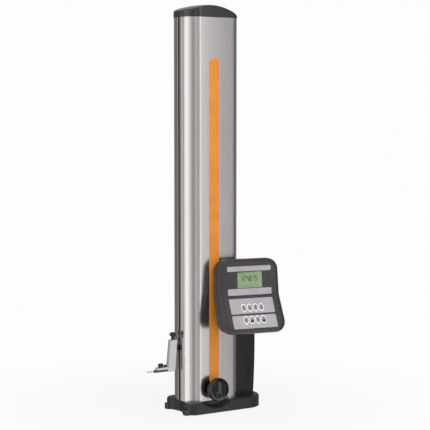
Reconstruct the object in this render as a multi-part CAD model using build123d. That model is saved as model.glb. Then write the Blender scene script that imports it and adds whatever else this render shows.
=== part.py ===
"""Motorless column height gauge.

Row frame, millimetres: +Z up from the table, origin on the column's axis.
The probe looks along -X, the handle post stands at +X and the operator's
side, with the hand wheel and the control panel, is -Y.
"""
import os
from math import cos, radians, sin, sqrt, tan

from build123d import *

# ---- running and assembly clearances --------------------------------------
RUNNING = 0.05            # radial, shaft in its bush
LOOSE = 0.3               # between pieces that pass each other
SEAT = 0.15               # spigots and parts that drop in place

# ---- cast base -------------------------------------------------------------
BASE_FRONT_X = -82.0
BASE_REAR_X = 145.0
BASE_HALF_WIDTH = 65.0
BASE_TOP_Z = 29.0
BASE_LIFT = 1.0           # underside above the table, carried by the pads
BASE_FRONT_RADIUS = 26.0
BASE_REAR_RADIUS = 52.0
BASE_EDGE_RADIUS = 5.0
NOTCH_DEPTH = 9.5         # concave front between the two lobes
NOTCH_HALF_WIDTH = 31.0
NOTCH_CORNER_RADIUS = 16.0
BASE_WALL = 10.0          # casting wall round the hollow underside
BASE_DECK = 12.0          # casting thickness over the hollow underside
RIB_THICKNESS = 8.0
SCOOP_RADIUS = 61.5       # dish cut in the base round the hand wheel
SCOOP_FLOOR_RADIUS = 54.0
SCOOP_RISE = 14.0         # centre of the dish above the wheel's axis
SCOOP_DEPTH = 16.0
FOOT_PAD_PROUD = 4.0      # front feet stand out of the lobes
FOOT_PAD_LENGTH = 24.0
FOOT_PAD_WIDTH = 18.0
FOOT_PAD_HEIGHT = 14.0
FOOT_PAD_Y = 44.0
FOOT_PAD_CORNER = 4.0
REAR_PAD_RADIUS = 19.0
REAR_PAD_X = 108.0
REAR_PAD_HEIGHT = BASE_TOP_Z - BASE_DECK

# ---- column cover ----------------------------------------------------------
COLUMN_HALF_LENGTH = 74.2
COLUMN_HALF_WIDTH = 47.1
COLUMN_FRONT_RADIUS = 36.0
COLUMN_REAR_RADIUS = 21.5
COVER_THICKNESS = 1.5
SLOT_WIDTH = 6.5
STRIP_THICKNESS = 4.0
STRIP_LIP = 2.0           # each strip's lip behind the cover's edge
STRIPE_X_MIN = -15.0
STRIPE_X_MAX = 13.0
STRIPE_Z_MIN = 70.0
STRIPE_BELOW_COVER = 98.0
STRIPE_THICKNESS = 0.25

# ---- top cap ---------------------------------------------------------------
CAP_TOP_Z = 1000.0        # overall height
CAP_LOW_END = 5.4         # height of the cap's side where its arc is lowest
CAP_OVERHANG = 1.0
CAP_ARC_RADIUS = 148.0
CAP_ARC_X = -8.0
CAP_CROWN_RADIUS = 560.0
CAP_EDGE_RADIUS = 4.8
CAP_WALL = 3.0
CAP_SKIRT = 10.0
CAP_CEILING = 5.0

# ---- inner guide column and what stands on it ------------------------------
GUIDE_X_MIN = 30.0
GUIDE_DEPTH = 32.0
GUIDE_HALF_WIDTH = 24.0
GUIDE_WALL = 6.0
GUIDE_BELOW_COVER = 64.0
FLANGE_THICKNESS = 12.0
FLANGE_HALF_WIDTH = 41.0
FLANGE_LENGTH = 38.0
SCREW_RADIUS = 2.5        # M5 socket head screws
SCREW_HEAD_RADIUS = 4.25
SCREW_HEAD_HEIGHT = 5.0
SCREW_SOCKET_RADIUS = 2.2
SCREW_SOCKET_DEPTH = 2.6
SCREW_ENGAGEMENT = 9.0
HEAD_SCREW_RADIUS = 1.5   # M3 screws of the pulley bracket
HEAD_SCREW_HEAD = 2.75
HEAD_SCREW_HEIGHT = 3.0
HEAD_SCREW_INSET = 6.0
BRACKET_PLATE = 8.0
BRACKET_CHEEK = 6.0
BRACKET_CHEEK_GAP = 9.0   # from the belt's plane to each cheek
SCALE_X_MIN = 47.0
SCALE_WIDTH = 12.0
SCALE_THICKNESS = 4.0
SCALE_END_GAP = 20.0

# ---- belt drive ------------------------------------------------------------
PULLEY_RADIUS = 26.4      # belt seat
PULLEY_FLANGE_RADIUS = 29.0
PULLEY_WIDTH = 14.0
BELT_WIDTH = 10.0
BELT_THICKNESS = 1.2
UPPER_PULLEY_RISE = 26.0  # pulley's axis above the guide column
AXLE_RADIUS = 5.0
BLOCK_X_MIN = -22.0
BLOCK_X_MAX = 28.0
BLOCK_CHEEK = 12.0
BLOCK_ABOVE_BUSH = 2.5
BUSH_WALL = 2.0
BUSH_FLANGE = 1.0

# ---- hand wheel ------------------------------------------------------------
WHEEL_X = -2.0
WHEEL_Z = 59.0
WHEEL_RADIUS = 29.0
WHEEL_BACK_Y = -56.5
WHEEL_FRONT_Y = -84.0
WHEEL_HUB_RADIUS = 15.0
WHEEL_HUB_BACK_Y = -48.2
WHEEL_BACK_RADIUS = 10.0
WHEEL_FRONT_RADIUS = 15.0
WHEEL_CROWN = 6.0         # height of the front's dome
DIMPLE_RADIUS = 10.5
DIMPLE_OFFSET = 15.0
DIMPLE_DEPTH = 5.0
COVER_HOLE_CLEARANCE = 2.5

# ---- carriage locking lever ------------------------------------------------
LEVER_X = 20.0
LEVER_Z = 42.0
LEVER_HUB_RADIUS = 5.0
LEVER_HUB_WIDTH = 6.0
LEVER_SPINDLE_RADIUS = 3.0
LEVER_LENGTH = 20.0
LEVER_TIP_RADIUS = 2.6
LEVER_ANGLE = -27.0       # from +X towards +Z, seen from the operator

# ---- carriage --------------------------------------------------------------
CARRIAGE_Z_MIN = 172.0
CARRIAGE_Z_MAX = 272.0
CARRIAGE_FRONT_X = -62.0
CARRIAGE_FRONT_THICKNESS = 10.0
CARRIAGE_NOSE_Z = 148.0   # the front plate reaches lower than the sides
CARRIAGE_SIDE_INNER_Y = 30.0
CARRIAGE_SIDE = 6.0
CARRIAGE_REAR_X = 71.0
CARRIAGE_LIP = 3.0
CARRIAGE_CORNER = 8.0
CARRIAGE_WAIST = 18.0     # window height left above and below in the sides
PAD_GAP = 0.1
PAD_WIDTH = 10.0
PAD_HEIGHT = 16.0
READING_HEAD_INSET = 32.0 # from the carriage's ends
CLAMP_HEIGHT = 24.0
CLAMP_Z = 222.0
CLAMP_HALF_WIDTH = 9.0
WEIGHT_BELOW_PULLEY = 225.0
WEIGHT_LENGTH = 88.0
WEIGHT_HALF_WIDTH = 13.0
WEIGHT_X_MIN = -10.0

# ---- probe arm -------------------------------------------------------------
PROBE_PLATE = 12.5        # thickness of the outer bracket
PROBE_Z_MIN = 103.6
PROBE_Z_MAX = 181.5
PROBE_TOP_FRONT_X = -101.0
PROBE_TOP_REAR_X = -82.0
PROBE_BOTTOM_FRONT_X = -109.0
PROBE_BOTTOM_REAR_X = -87.6
NECK_THICKNESS = 3.6
NECK_Z_MIN = 154.0
NECK_Z_MAX = 166.0
NECK_EMBED = 12.0         # blade length inside the outer bracket
NECK_PIN_RADIUS = 2.0
NECK_PIN_Z = 172.0
NECK_PIN_EMBED = 10.0
KNOB_X = -91.5
KNOB_STEM_RADIUS = 4.5
KNOB_STEM_HEIGHT = 9.0
KNOB_HEAD_RADIUS = 8.25
KNOB_HEAD_HEIGHT = 9.0
KNOB_SCREW_RADIUS = 3.0
FOOT_X_MIN = -140.0
FOOT_TOP_Z = 115.5
FOOT_PLATE = 5.5
TONGUE_LENGTH = 13.0
TONGUE_WIDTH = 6.0
FOOT_WIDTH = 12.0
SHANK_X_MIN = -146.0
SHANK_Z_MIN = 104.5
SHANK_WIDTH = 8.0
STYLUS_RADIUS = 1.5
STYLUS_Z = 107.2
STYLUS_EMBED = 24.0
STYLUS_TIP_X = -164.0
BALL_RADIUS = 2.0
CLAMP_KNOB_X = -126.0
CLAMP_KNOB_RADIUS = 6.75
CLAMP_KNOB_HEIGHT = 8.5
CLAMP_KNOB_GAP = 0.5
CLAMP_KNOB_SCREW = 2.0
CLAMP_KNOB_GRIPS = 12
FOOT_SCREW_X = -113.5
FOOT_SCREW_HEAD = 3.4
FOOT_SCREW_HEIGHT = 5.5
FOOT_SCREW_RADIUS = 1.75

# ---- handle post -----------------------------------------------------------
POST_GAP = 0.3            # between the post and the column cover
POST_BOTTOM_REAR_X = 135.6
POST_MIDDLE_REAR_X = 140.0
POST_TOP_REAR_X = 136.0
POST_HALF_WIDTH = 23.5
POST_TOP_Z = 296.0
POST_REAR_RADIUS = 10.0
POST_TOP_RADIUS = 8.0
POST_WALL = 3.0
RELIEF_X = 103.5
RELIEF_Z = 93.0
RELIEF_HALF_WIDTH = 21.0
RELIEF_HALF_HEIGHT = 41.0
RELIEF_STEPS = 4
RELIEF_STEP_WIDTH = 3.6
RELIEF_STEP_DEPTH = 0.6
BUTTON_RADIUS = 5.0
BUTTON_PROUD = 2.6
BUTTON_LENGTH = 13.0
BUTTON_COLLAR = 1.6
BUTTON_TRAVEL = 2.0
SWITCH_SIZE = 12.0
BATTERY_LENGTH = 44.0
BATTERY_DEPTH = 34.0
BATTERY_HEIGHT = 96.0
BATTERY_Z_MIN = 150.0
PUMP_RADIUS = 15.0
PUMP_LENGTH = 34.0
PUMP_X = 105.0
PUMP_MOTOR_RADIUS = 10.0
SHELF_THICKNESS = 3.0
POST_SCREWS = ((83.5, 50.0), (126.0, 128.0), (83.5, 264.0), (126.0, 264.0))
POST_BOSS_RADIUS = 5.0
POST_SCREW_RADIUS = 1.75
POST_SCREW_HEAD = 3.2
POST_SCREW_HEAD_HEIGHT = 2.5

# ---- swivel arm ------------------------------------------------------------
SWIVEL_X = 104.0
SWIVEL_PIN_RADIUS = 6.0
SWIVEL_PIN_BURIED = 16.0
SWIVEL_PIN_HEAD_RADIUS = 9.0
SWIVEL_PIN_HEAD = 3.0
SWIVEL_HUB_RADIUS = 17.0
SWIVEL_HUB_HEIGHT = 20.0
ARM_HALF_WIDTH = 13.0
TILT_AXIS_BEHIND_FOLD = 48.4
TILT_BARREL_RADIUS = 8.0
TILT_PIN_RADIUS = 3.0
EAR_THICKNESS = 9.0

# ---- control panel ---------------------------------------------------------
PANEL_TURN = -9.0         # degrees about Z from parallel with the column's side
PANEL_OFFSET = -21.6      # centre of the panel, sideways from the swivel axis
PANEL_REACH = 111.4       # swivel axis to the fold of the panel's front
PANEL_FOLD_Z = 291.5
PANEL_HALF_WIDTH = 86.0   # at the lower end
PANEL_TAPER = 4.5         # each side, up to the top
PANEL_FOLD_RADIUS = 12.0
PANEL_RIM_MARGIN = 5.0    # how far the rim's edges may lie from the outline
GROOVE_WIDTH = 1.6        # shadow groove along the fold
GROOVE_DEPTH = 0.9
GROOVE_OVERRUN = 4.0      # beyond the strips' ends
PANEL_TOP_Z = 379.5
PANEL_BOTTOM_Z = 201.0
PANEL_UPPER_TILT = 5.0
PANEL_LOWER_TILT = 27.0
PANEL_DEPTH_TOP = 33.0
PANEL_DEPTH_FOLD = 36.0
PANEL_DEPTH_BOTTOM = 50.0
PANEL_CORNER = 27.0
PANEL_FRONT_RADIUS = 14.0
PANEL_BACK_RADIUS = 9.0
PANEL_WALL = 3.0
PANEL_SEAM = 16.0         # seam of the two shells, behind the front
DISPLAY_X_MIN = -31.8
DISPLAY_X_MAX = 34.5
DISPLAY_V_MIN = 19.4      # distances along each facet from the fold
DISPLAY_V_MAX = 58.0
DISPLAY_GLASS = 1.5
DISPLAY_GLASS_BORDER = 1.2
DISPLAY_MODULE_DEPTH = 6.0
STRIP_HALF_WIDTH = 58.5
UPPER_STRIP_V = (60.3, 72.5)
LOWER_STRIP_V = (1.8, 17.8)
UPPER_PLATE_V = (6.9, 46.1)
LOWER_PLATE_V = (50.6, 83.9)
PLATE_THICKNESS = 1.2
PLATE_RECESS = 0.8
PLATE_CORNER = 2.5
KEY_PITCH = 15.6
KEY_COUNT = 4
KEY_WIDTH = 14.2
KEY_HEIGHT = 21.4
KEY_ROWS_V = (31.6, 62.9)
KEY_GAP = 0.3
KEY_PROUD = 1.8
KEY_TRAVEL = 1.2
KEY_TAB_GAP = 0.2
KEY_TAB_THICKNESS = 1.0
KEY_TAB_WIDTH = 6.0
KEY_TAB_REACH = 1.3
KEY_MAT_THICKNESS = 2.0
BOARD_THICKNESS = 1.6
PANEL_SCREW_RADIUS = 1.6
PANEL_SCREW_HEAD = 3.0
PANEL_SCREW_INSET_X = 22.0
PANEL_SCREW_BOSS = 4.5

# ---- places worked out from the values above --------------------------------
CAP_ARC_DROP = CAP_ARC_RADIUS - sqrt(CAP_ARC_RADIUS**2
                                     - (COLUMN_HALF_LENGTH + CAP_OVERHANG - CAP_ARC_X)**2)
COVER_TOP_Z = CAP_TOP_Z - CAP_ARC_DROP - CAP_LOW_END
STRIPE_Z_MAX = COVER_TOP_Z - STRIPE_BELOW_COVER
GUIDE_TOP_Z = COVER_TOP_Z - GUIDE_BELOW_COVER
UPPER_PULLEY_Z = GUIDE_TOP_Z + UPPER_PULLEY_RISE
WEIGHT_Z_MIN = UPPER_PULLEY_Z - WEIGHT_BELOW_PULLEY
TILT_AXIS_REACH = PANEL_REACH - TILT_AXIS_BEHIND_FOLD
GUIDE_X_MAX = GUIDE_X_MIN + GUIDE_DEPTH
GUIDE_X = (GUIDE_X_MIN + GUIDE_X_MAX) / 2
STRIP_OUTER_Y = COLUMN_HALF_WIDTH - COLUMN_FRONT_RADIUS
BELT_RADIUS = PULLEY_RADIUS + LOOSE
BLOCK_INNER_Y = PULLEY_WIDTH / 2 + 1.5
BLOCK_OUTER_Y = BLOCK_INNER_Y + BLOCK_CHEEK
FRONT_PLATE_REAR_X = CARRIAGE_FRONT_X + CARRIAGE_FRONT_THICKNESS
SIDE_OUTER_Y = CARRIAGE_SIDE_INNER_Y + CARRIAGE_SIDE
POST_FRONT_X = COLUMN_HALF_LENGTH + POST_GAP
HUB_BOTTOM_Z = POST_TOP_Z + LOOSE
TILT_AXIS_Z = HUB_BOTTOM_Z + SWIVEL_HUB_HEIGHT / 2
PANEL_FRAME = Pos(SWIVEL_X, 0, 0) * Rot(0, 0, PANEL_TURN)


# ---- small helpers ---------------------------------------------------------
def block(x, y, z):
    """Box between the pairs x, y and z."""
    size = [b - a for a, b in (x, y, z)]
    middle = [(a + b) / 2 for a, b in (x, y, z)]
    return Pos(*middle) * Box(*size)


def rod_x(radius, x, y, z):
    """Round bar along X between the pair x."""
    return Pos((x[0] + x[1]) / 2, y, z) * Rot(0, 90, 0) * Cylinder(radius, x[1] - x[0])


def rod_y(radius, x, y, z):
    """Round bar along Y between the pair y."""
    return Pos(x, (y[0] + y[1]) / 2, z) * Rot(90, 0, 0) * Cylinder(radius, y[1] - y[0])


def rod_z(radius, x, y, z):
    """Round bar along Z between the pair z."""
    return Pos(x, y, (z[0] + z[1]) / 2) * Cylinder(radius, z[1] - z[0])


def both_sides(piece):
    """A piece and its mirror image across the column's middle plane."""
    return piece + mirror(piece, Plane.XZ)


def turned_y(points, x, z):
    """Solid turned about the Y axis through (x, z) from (radius, y) points."""
    outline = make_face(Polyline([(r, y, 0) for r, y in points], close=True))
    return Pos(x, 0, z) * revolve(outline, Axis.Y)


def socket_screw(length, radius=SCREW_RADIUS, head=SCREW_HEAD_RADIUS, height=SCREW_HEAD_HEIGHT):
    """Socket head screw pointing down, its head seated on z = 0."""
    screw = rod_z(radius, 0, 0, (-length, 0)) + rod_z(head, 0, 0, (0, height))
    screw = chamfer(screw.faces().sort_by(Axis.Z)[-1].edges(), head * 0.12)
    socket = RegularPolygon(SCREW_SOCKET_RADIUS * radius / SCREW_RADIUS, 6)
    depth = SCREW_SOCKET_DEPTH * radius / SCREW_RADIUS
    return screw - Pos(0, 0, height - depth) * extrude(socket, depth)


def column_outline(inset):
    """The column's plan, drawn inside its outer face by inset."""
    half_length = COLUMN_HALF_LENGTH - inset
    half_width = COLUMN_HALF_WIDTH - inset
    outline = Rectangle(2 * half_length, 2 * half_width)
    corners = outline.vertices().sort_by(Axis.X)
    outline = fillet(corners[:2], COLUMN_FRONT_RADIUS - inset)
    corners = outline.vertices().sort_by(Axis.X)
    return fillet(corners[-2:], COLUMN_REAR_RADIUS - inset)


# ---- base ------------------------------------------------------------------
def base_outline():
    """Plan of the casting: two front lobes, a concave nose and a round tail."""
    length = BASE_REAR_X - BASE_FRONT_X
    outline = Pos((BASE_REAR_X + BASE_FRONT_X) / 2, 0) * Rectangle(length, 2 * BASE_HALF_WIDTH)
    corners = outline.vertices().sort_by(Axis.X)
    outline = fillet(corners[:2], BASE_FRONT_RADIUS)
    corners = outline.vertices().sort_by(Axis.X)
    outline = fillet(corners[-2:], BASE_REAR_RADIUS)
    notch_radius = (NOTCH_HALF_WIDTH**2 + NOTCH_DEPTH**2) / (2 * NOTCH_DEPTH)
    outline -= Pos(BASE_FRONT_X + NOTCH_DEPTH - notch_radius, 0) * Circle(notch_radius)
    corners = outline.vertices().filter_by(lambda v: abs(v.X - BASE_FRONT_X) < 0.01
                                           and abs(v.Y) < NOTCH_HALF_WIDTH + 1)
    return fillet(corners, NOTCH_CORNER_RADIUS)


def front_pad():
    """One ground foot, let into the front lobe on the operator's side."""
    x_min = BASE_FRONT_X - FOOT_PAD_PROUD
    pad = block((x_min, x_min + FOOT_PAD_LENGTH),
                (-FOOT_PAD_Y - FOOT_PAD_WIDTH / 2, -FOOT_PAD_Y + FOOT_PAD_WIDTH / 2),
                (0, FOOT_PAD_HEIGHT))
    return fillet(pad.edges().filter_by(Axis.Z), FOOT_PAD_CORNER)


def rear_pad():
    return rod_z(REAR_PAD_RADIUS, REAR_PAD_X, 0, (0, REAR_PAD_HEIGHT))


def flange_screw_places():
    """The four screws that hold the column's foot flange to the base."""
    inset = SCREW_HEAD_RADIUS + 2.5
    xs = (GUIDE_X_MIN + inset, GUIDE_X_MIN + FLANGE_LENGTH - inset)
    return [(x, side * (FLANGE_HALF_WIDTH - inset)) for x in xs for side in (-1, 1)]


def make_base():
    outline = base_outline()
    base = Pos(0, 0, BASE_LIFT) * extrude(outline, BASE_TOP_Z - BASE_LIFT)
    base = fillet(base.faces().sort_by(Axis.Z)[-1].edges(), BASE_EDGE_RADIUS)
    hollow = Pos(0, 0, BASE_LIFT) * extrude(offset(outline, -BASE_WALL),
                                            BASE_TOP_Z - BASE_DECK - BASE_LIFT)
    low, high = BASE_LIFT, BASE_TOP_Z
    half_rib = RIB_THICKNESS / 2
    ribs = block((BASE_FRONT_X, BASE_REAR_X), (-half_rib, half_rib), (low, high))
    for x in (GUIDE_X_MIN, GUIDE_X_MAX + RIB_THICKNESS):
        ribs += block((x - half_rib, x + half_rib), (-BASE_HALF_WIDTH, BASE_HALF_WIDTH), (low, high))
    ribs += rod_z(REAR_PAD_RADIUS + BASE_WALL / 2, REAR_PAD_X, 0, (low, high))
    lobe_x = BASE_FRONT_X - FOOT_PAD_PROUD + FOOT_PAD_LENGTH + BASE_WALL / 2
    for side in (-1, 1):
        ribs += block((BASE_FRONT_X, lobe_x), (side * FOOT_PAD_Y - FOOT_PAD_WIDTH / 2 - BASE_WALL,
                                               side * FOOT_PAD_Y + FOOT_PAD_WIDTH / 2 + BASE_WALL),
                      (low, high))
    scoop_y, scoop_z = -BASE_HALF_WIDTH, WHEEL_Z + SCOOP_RISE
    scoop = turned_y([(0, scoop_y - 1), (SCOOP_RADIUS, scoop_y - 1), (SCOOP_RADIUS, scoop_y),
                      (SCOOP_FLOOR_RADIUS, scoop_y + SCOOP_DEPTH), (0, scoop_y + SCOOP_DEPTH)],
                     WHEEL_X, scoop_z)
    behind_scoop = turned_y([(0, scoop_y), (SCOOP_RADIUS + BASE_WALL, scoop_y),
                             (SCOOP_RADIUS + BASE_WALL, scoop_y + SCOOP_DEPTH + BASE_WALL),
                             (0, scoop_y + SCOOP_DEPTH + BASE_WALL)], WHEEL_X, scoop_z)
    base -= hollow - ribs - behind_scoop
    base -= scoop
    base -= both_sides(front_pad())
    base -= rear_pad()
    for x, y in flange_screw_places():
        base -= rod_z(SCREW_RADIUS, x, y, (BASE_TOP_Z - SCREW_ENGAGEMENT, BASE_TOP_Z + 1))
    return base


def make_base_pads():
    return both_sides(front_pad()) + rear_pad()


# ---- guide column, its foot and head ---------------------------------------
def guide_section(grow=0.0):
    return Pos(GUIDE_X, 0) * RectangleRounded(GUIDE_DEPTH + 2 * grow,
                                              2 * (GUIDE_HALF_WIDTH + grow), 2 + grow)


def make_guide_column():
    bore = Pos(GUIDE_X, 0) * RectangleRounded(GUIDE_DEPTH - 2 * GUIDE_WALL,
                                              2 * (GUIDE_HALF_WIDTH - GUIDE_WALL), 1.5)
    guide = Pos(0, 0, BASE_TOP_Z) * extrude(guide_section() - bore, GUIDE_TOP_Z - BASE_TOP_Z)
    for x, y in head_screw_places():
        guide -= rod_z(HEAD_SCREW_RADIUS, x, y, (GUIDE_TOP_Z - SCREW_ENGAGEMENT, GUIDE_TOP_Z))
    return guide


def make_column_flange():
    top = BASE_TOP_Z + FLANGE_THICKNESS
    flange = block((GUIDE_X_MIN, GUIDE_X_MIN + FLANGE_LENGTH),
                   (-FLANGE_HALF_WIDTH, FLANGE_HALF_WIDTH), (BASE_TOP_Z, top))
    flange = fillet(flange.edges().filter_by(Axis.Z).sort_by(Axis.X)[-2:], CARRIAGE_CORNER)
    flange -= Pos(0, 0, BASE_TOP_Z) * extrude(guide_section(), FLANGE_THICKNESS)
    for x, y in flange_screw_places():
        flange -= rod_z(SCREW_RADIUS, x, y, (BASE_TOP_Z, top))
    return flange


def head_screw_places():
    half = GUIDE_HALF_WIDTH - GUIDE_WALL / 2
    return [(x, side * half) for x in (GUIDE_X_MIN + HEAD_SCREW_INSET, GUIDE_X_MAX - HEAD_SCREW_INSET)
            for side in (-1, 1)]


def make_pulley_bracket():
    """Plate on the guide column's top, with two cheeks that hold the axle."""
    plate_top = GUIDE_TOP_Z + BRACKET_PLATE
    inner, outer = BRACKET_CHEEK_GAP, BRACKET_CHEEK_GAP + BRACKET_CHEEK
    axle_wall = AXLE_RADIUS + 6
    bracket = block((GUIDE_X_MIN, GUIDE_X_MAX), (-GUIDE_HALF_WIDTH, GUIDE_HALF_WIDTH),
                    (GUIDE_TOP_Z, plate_top))
    cheek = Polyline([(WHEEL_X, UPPER_PULLEY_Z + axle_wall), (GUIDE_X_MAX, plate_top + 12),
                      (GUIDE_X_MAX, GUIDE_TOP_Z), (GUIDE_X_MIN, GUIDE_TOP_Z),
                      (WHEEL_X, UPPER_PULLEY_Z - axle_wall)], close=True)
    side = Pos(0, -inner, 0) * extrude(Plane.XZ * make_face(cheek), outer - inner)
    side += rod_y(axle_wall, WHEEL_X, (-outer, -inner), UPPER_PULLEY_Z)
    bracket += both_sides(side)
    bracket -= rod_y(AXLE_RADIUS, WHEEL_X, (-outer, outer), UPPER_PULLEY_Z)
    for x, y in head_screw_places():
        bracket -= rod_z(HEAD_SCREW_RADIUS, x, y, (GUIDE_TOP_Z, plate_top))
    return bracket


def make_upper_axle():
    reach = BRACKET_CHEEK_GAP + BRACKET_CHEEK
    return rod_y(AXLE_RADIUS, WHEEL_X, (-reach, reach), UPPER_PULLEY_Z)


def make_column_screws():
    flange_top = BASE_TOP_Z + FLANGE_THICKNESS
    foot = [Pos(x, y, flange_top) * socket_screw(FLANGE_THICKNESS + SCREW_ENGAGEMENT)
            for x, y in flange_screw_places()]
    head = [Pos(x, y, GUIDE_TOP_Z + BRACKET_PLATE)
            * socket_screw(BRACKET_PLATE + SCREW_ENGAGEMENT, HEAD_SCREW_RADIUS, HEAD_SCREW_HEAD,
                           HEAD_SCREW_HEIGHT) for x, y in head_screw_places()]
    return Compound(children=foot + head)


def make_scale():
    """Graduated glass scale on the far side of the guide column."""
    return block((SCALE_X_MIN, SCALE_X_MIN + SCALE_WIDTH),
                 (GUIDE_HALF_WIDTH, GUIDE_HALF_WIDTH + SCALE_THICKNESS),
                 (BASE_TOP_Z + FLANGE_THICKNESS + SCALE_END_GAP, GUIDE_TOP_Z - SCALE_END_GAP))


# ---- cover, front strips, stripe and cap -----------------------------------
def make_column_cover():
    height = COVER_TOP_Z - BASE_TOP_Z
    wall = column_outline(0) - column_outline(COVER_THICKNESS)
    wall -= Pos(-COLUMN_HALF_LENGTH, 0) * Rectangle(2 * COLUMN_FRONT_RADIUS, 2 * STRIP_OUTER_Y)
    cover = Pos(0, 0, BASE_TOP_Z) * extrude(wall, height)
    near = (-COLUMN_HALF_WIDTH - 1, -COLUMN_HALF_WIDTH + COVER_THICKNESS + 1)
    cover -= rod_y(AXLE_RADIUS + COVER_HOLE_CLEARANCE, WHEEL_X, near, WHEEL_Z)
    cover -= rod_y(LEVER_SPINDLE_RADIUS + LOOSE, LEVER_X, near, LEVER_Z)
    return cover


def make_front_strip():
    """Slot strip of the operator's side; the other is its mirror image."""
    front = -COLUMN_HALF_LENGTH
    height = (BASE_TOP_Z, COVER_TOP_Z)
    strip = block((front, front + STRIP_THICKNESS), (-STRIP_OUTER_Y, -SLOT_WIDTH / 2), height)
    strip = chamfer(strip.edges().filter_by(Axis.Z).sort_by(Axis.X)[:2].sort_by(Axis.Y)[-1:], 1.2)
    lip_x = front + COVER_THICKNESS + SEAT
    return strip + block((lip_x, front + STRIP_THICKNESS),
                         (-STRIP_OUTER_Y - STRIP_LIP, -STRIP_OUTER_Y), height)


def make_accent_stripe():
    """Long printed foil with round ends on the column's side."""
    width = STRIPE_X_MAX - STRIPE_X_MIN
    middle = Pos((STRIPE_X_MAX + STRIPE_X_MIN) / 2, (STRIPE_Z_MAX + STRIPE_Z_MIN) / 2)
    shape = middle * Rot(0, 0, 90) * SlotOverall(STRIPE_Z_MAX - STRIPE_Z_MIN, width)
    stripe = Plane.XZ.offset(COLUMN_HALF_WIDTH) * shape
    return extrude(stripe, STRIPE_THICKNESS)


def cap_barrel():
    """Solid whose top is the cap's arc along X, crowned across Y."""
    reach = COLUMN_HALF_LENGTH + 2 * CAP_OVERHANG
    axis_z = CAP_TOP_Z - CAP_CROWN_RADIUS
    ends = []
    for x in (-reach, reach):
        drop = CAP_ARC_RADIUS - sqrt(CAP_ARC_RADIUS**2 - (x - CAP_ARC_X)**2)
        ends.append((x, CAP_TOP_Z - drop))
    arc = ThreePointArc(ends[0], (CAP_ARC_X, CAP_TOP_Z), ends[1])
    rest = Polyline([ends[1], (reach, axis_z), (-reach, axis_z), ends[0]])
    side = Plane.XZ * make_face(Curve() + [arc, rest])
    return revolve(side, Axis((0, 0, axis_z), (1, 0, 0)))


def make_top_cap():
    """Moulded cap: an arc along the column's length and a slight side crown."""
    height = CAP_TOP_Z - COVER_TOP_Z
    cap = Pos(0, 0, COVER_TOP_Z) * extrude(column_outline(-CAP_OVERHANG), height)
    cap &= cap_barrel()
    top_face = cap.faces().sort_by(Axis.Z)[-1]
    cap = fillet(top_face.edges(), CAP_EDGE_RADIUS)
    inset = COVER_THICKNESS + SEAT
    inner = Pos(0, 0, COVER_TOP_Z) * extrude(column_outline(inset + CAP_WALL), height)
    inner &= Pos(0, 0, -CAP_CEILING) * cap_barrel()
    skirt = extrude(column_outline(inset) - column_outline(inset + CAP_WALL), CAP_SKIRT)
    front = -COLUMN_HALF_LENGTH + STRIP_THICKNESS + SEAT
    skirt &= block((front, COLUMN_HALF_LENGTH), (-COLUMN_HALF_WIDTH, COLUMN_HALF_WIDTH), (0, CAP_SKIRT))
    cap -= inner
    return cap + Pos(0, 0, COVER_TOP_Z - CAP_SKIRT) * skirt


# ---- belt drive ------------------------------------------------------------
def belt_loop(radius):
    middle = (UPPER_PULLEY_Z + WHEEL_Z) / 2
    overall = UPPER_PULLEY_Z - WHEEL_Z + 2 * radius
    return Pos(WHEEL_X, middle) * Rot(0, 0, 90) * SlotOverall(overall, 2 * radius)


def make_drive_belt():
    ring = belt_loop(BELT_RADIUS + BELT_THICKNESS) - belt_loop(BELT_RADIUS)
    return extrude(Plane.XZ * ring, BELT_WIDTH / 2, both=True)


def pulley(z):
    """Flanged belt pulley on the wheel's vertical line."""
    half, belt = PULLEY_WIDTH / 2, (BELT_WIDTH + 1) / 2
    flanks = [(AXLE_RADIUS, -half), (PULLEY_FLANGE_RADIUS, -half), (PULLEY_FLANGE_RADIUS, -belt - 0.5),
              (PULLEY_RADIUS, -belt), (PULLEY_RADIUS, belt), (PULLEY_FLANGE_RADIUS, belt + 0.5),
              (PULLEY_FLANGE_RADIUS, half), (AXLE_RADIUS, half)]
    wheel = turned_y(flanks, WHEEL_X, z)
    spoke_radius = (AXLE_RADIUS + PULLEY_RADIUS) / 2
    for angle in range(0, 360, 60):
        x = WHEEL_X + spoke_radius * cos(radians(angle))
        wheel -= rod_y(4, x, (-half, half), z + spoke_radius * sin(radians(angle)))
    return wheel


def make_upper_pulley():
    bore = rod_y(AXLE_RADIUS + RUNNING, WHEEL_X, (-PULLEY_WIDTH, PULLEY_WIDTH), UPPER_PULLEY_Z)
    return pulley(UPPER_PULLEY_Z) - bore


def make_bearing_blocks():
    """Two blocks on the base that carry the hand wheel's shaft."""
    top = WHEEL_Z + AXLE_RADIUS + BUSH_WALL + BLOCK_ABOVE_BUSH
    across = (-BLOCK_OUTER_Y, -BLOCK_INNER_Y)
    near = block((BLOCK_X_MIN, BLOCK_X_MAX), across, (BASE_TOP_Z, top))
    near = fillet(near.edges().filter_by(Axis.Y).sort_by(Axis.Z)[-2:], 8)
    blocks = both_sides(near)
    blocks -= rod_y(AXLE_RADIUS + BUSH_WALL, WHEEL_X, (-BLOCK_OUTER_Y, BLOCK_OUTER_Y), WHEEL_Z)
    return blocks - rod_y(LEVER_SPINDLE_RADIUS + RUNNING, LEVER_X, across, LEVER_Z)


def make_shaft_bushes():
    bore, outer = AXLE_RADIUS + RUNNING, AXLE_RADIUS + BUSH_WALL
    face = BLOCK_OUTER_Y + BUSH_FLANGE
    bush = turned_y([(bore, -face), (outer + 1.5, -face), (outer + 1.5, -BLOCK_OUTER_Y),
                     (outer, -BLOCK_OUTER_Y), (outer, -BLOCK_INNER_Y), (bore, -BLOCK_INNER_Y)],
                    WHEEL_X, WHEEL_Z)
    return both_sides(bush)


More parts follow.
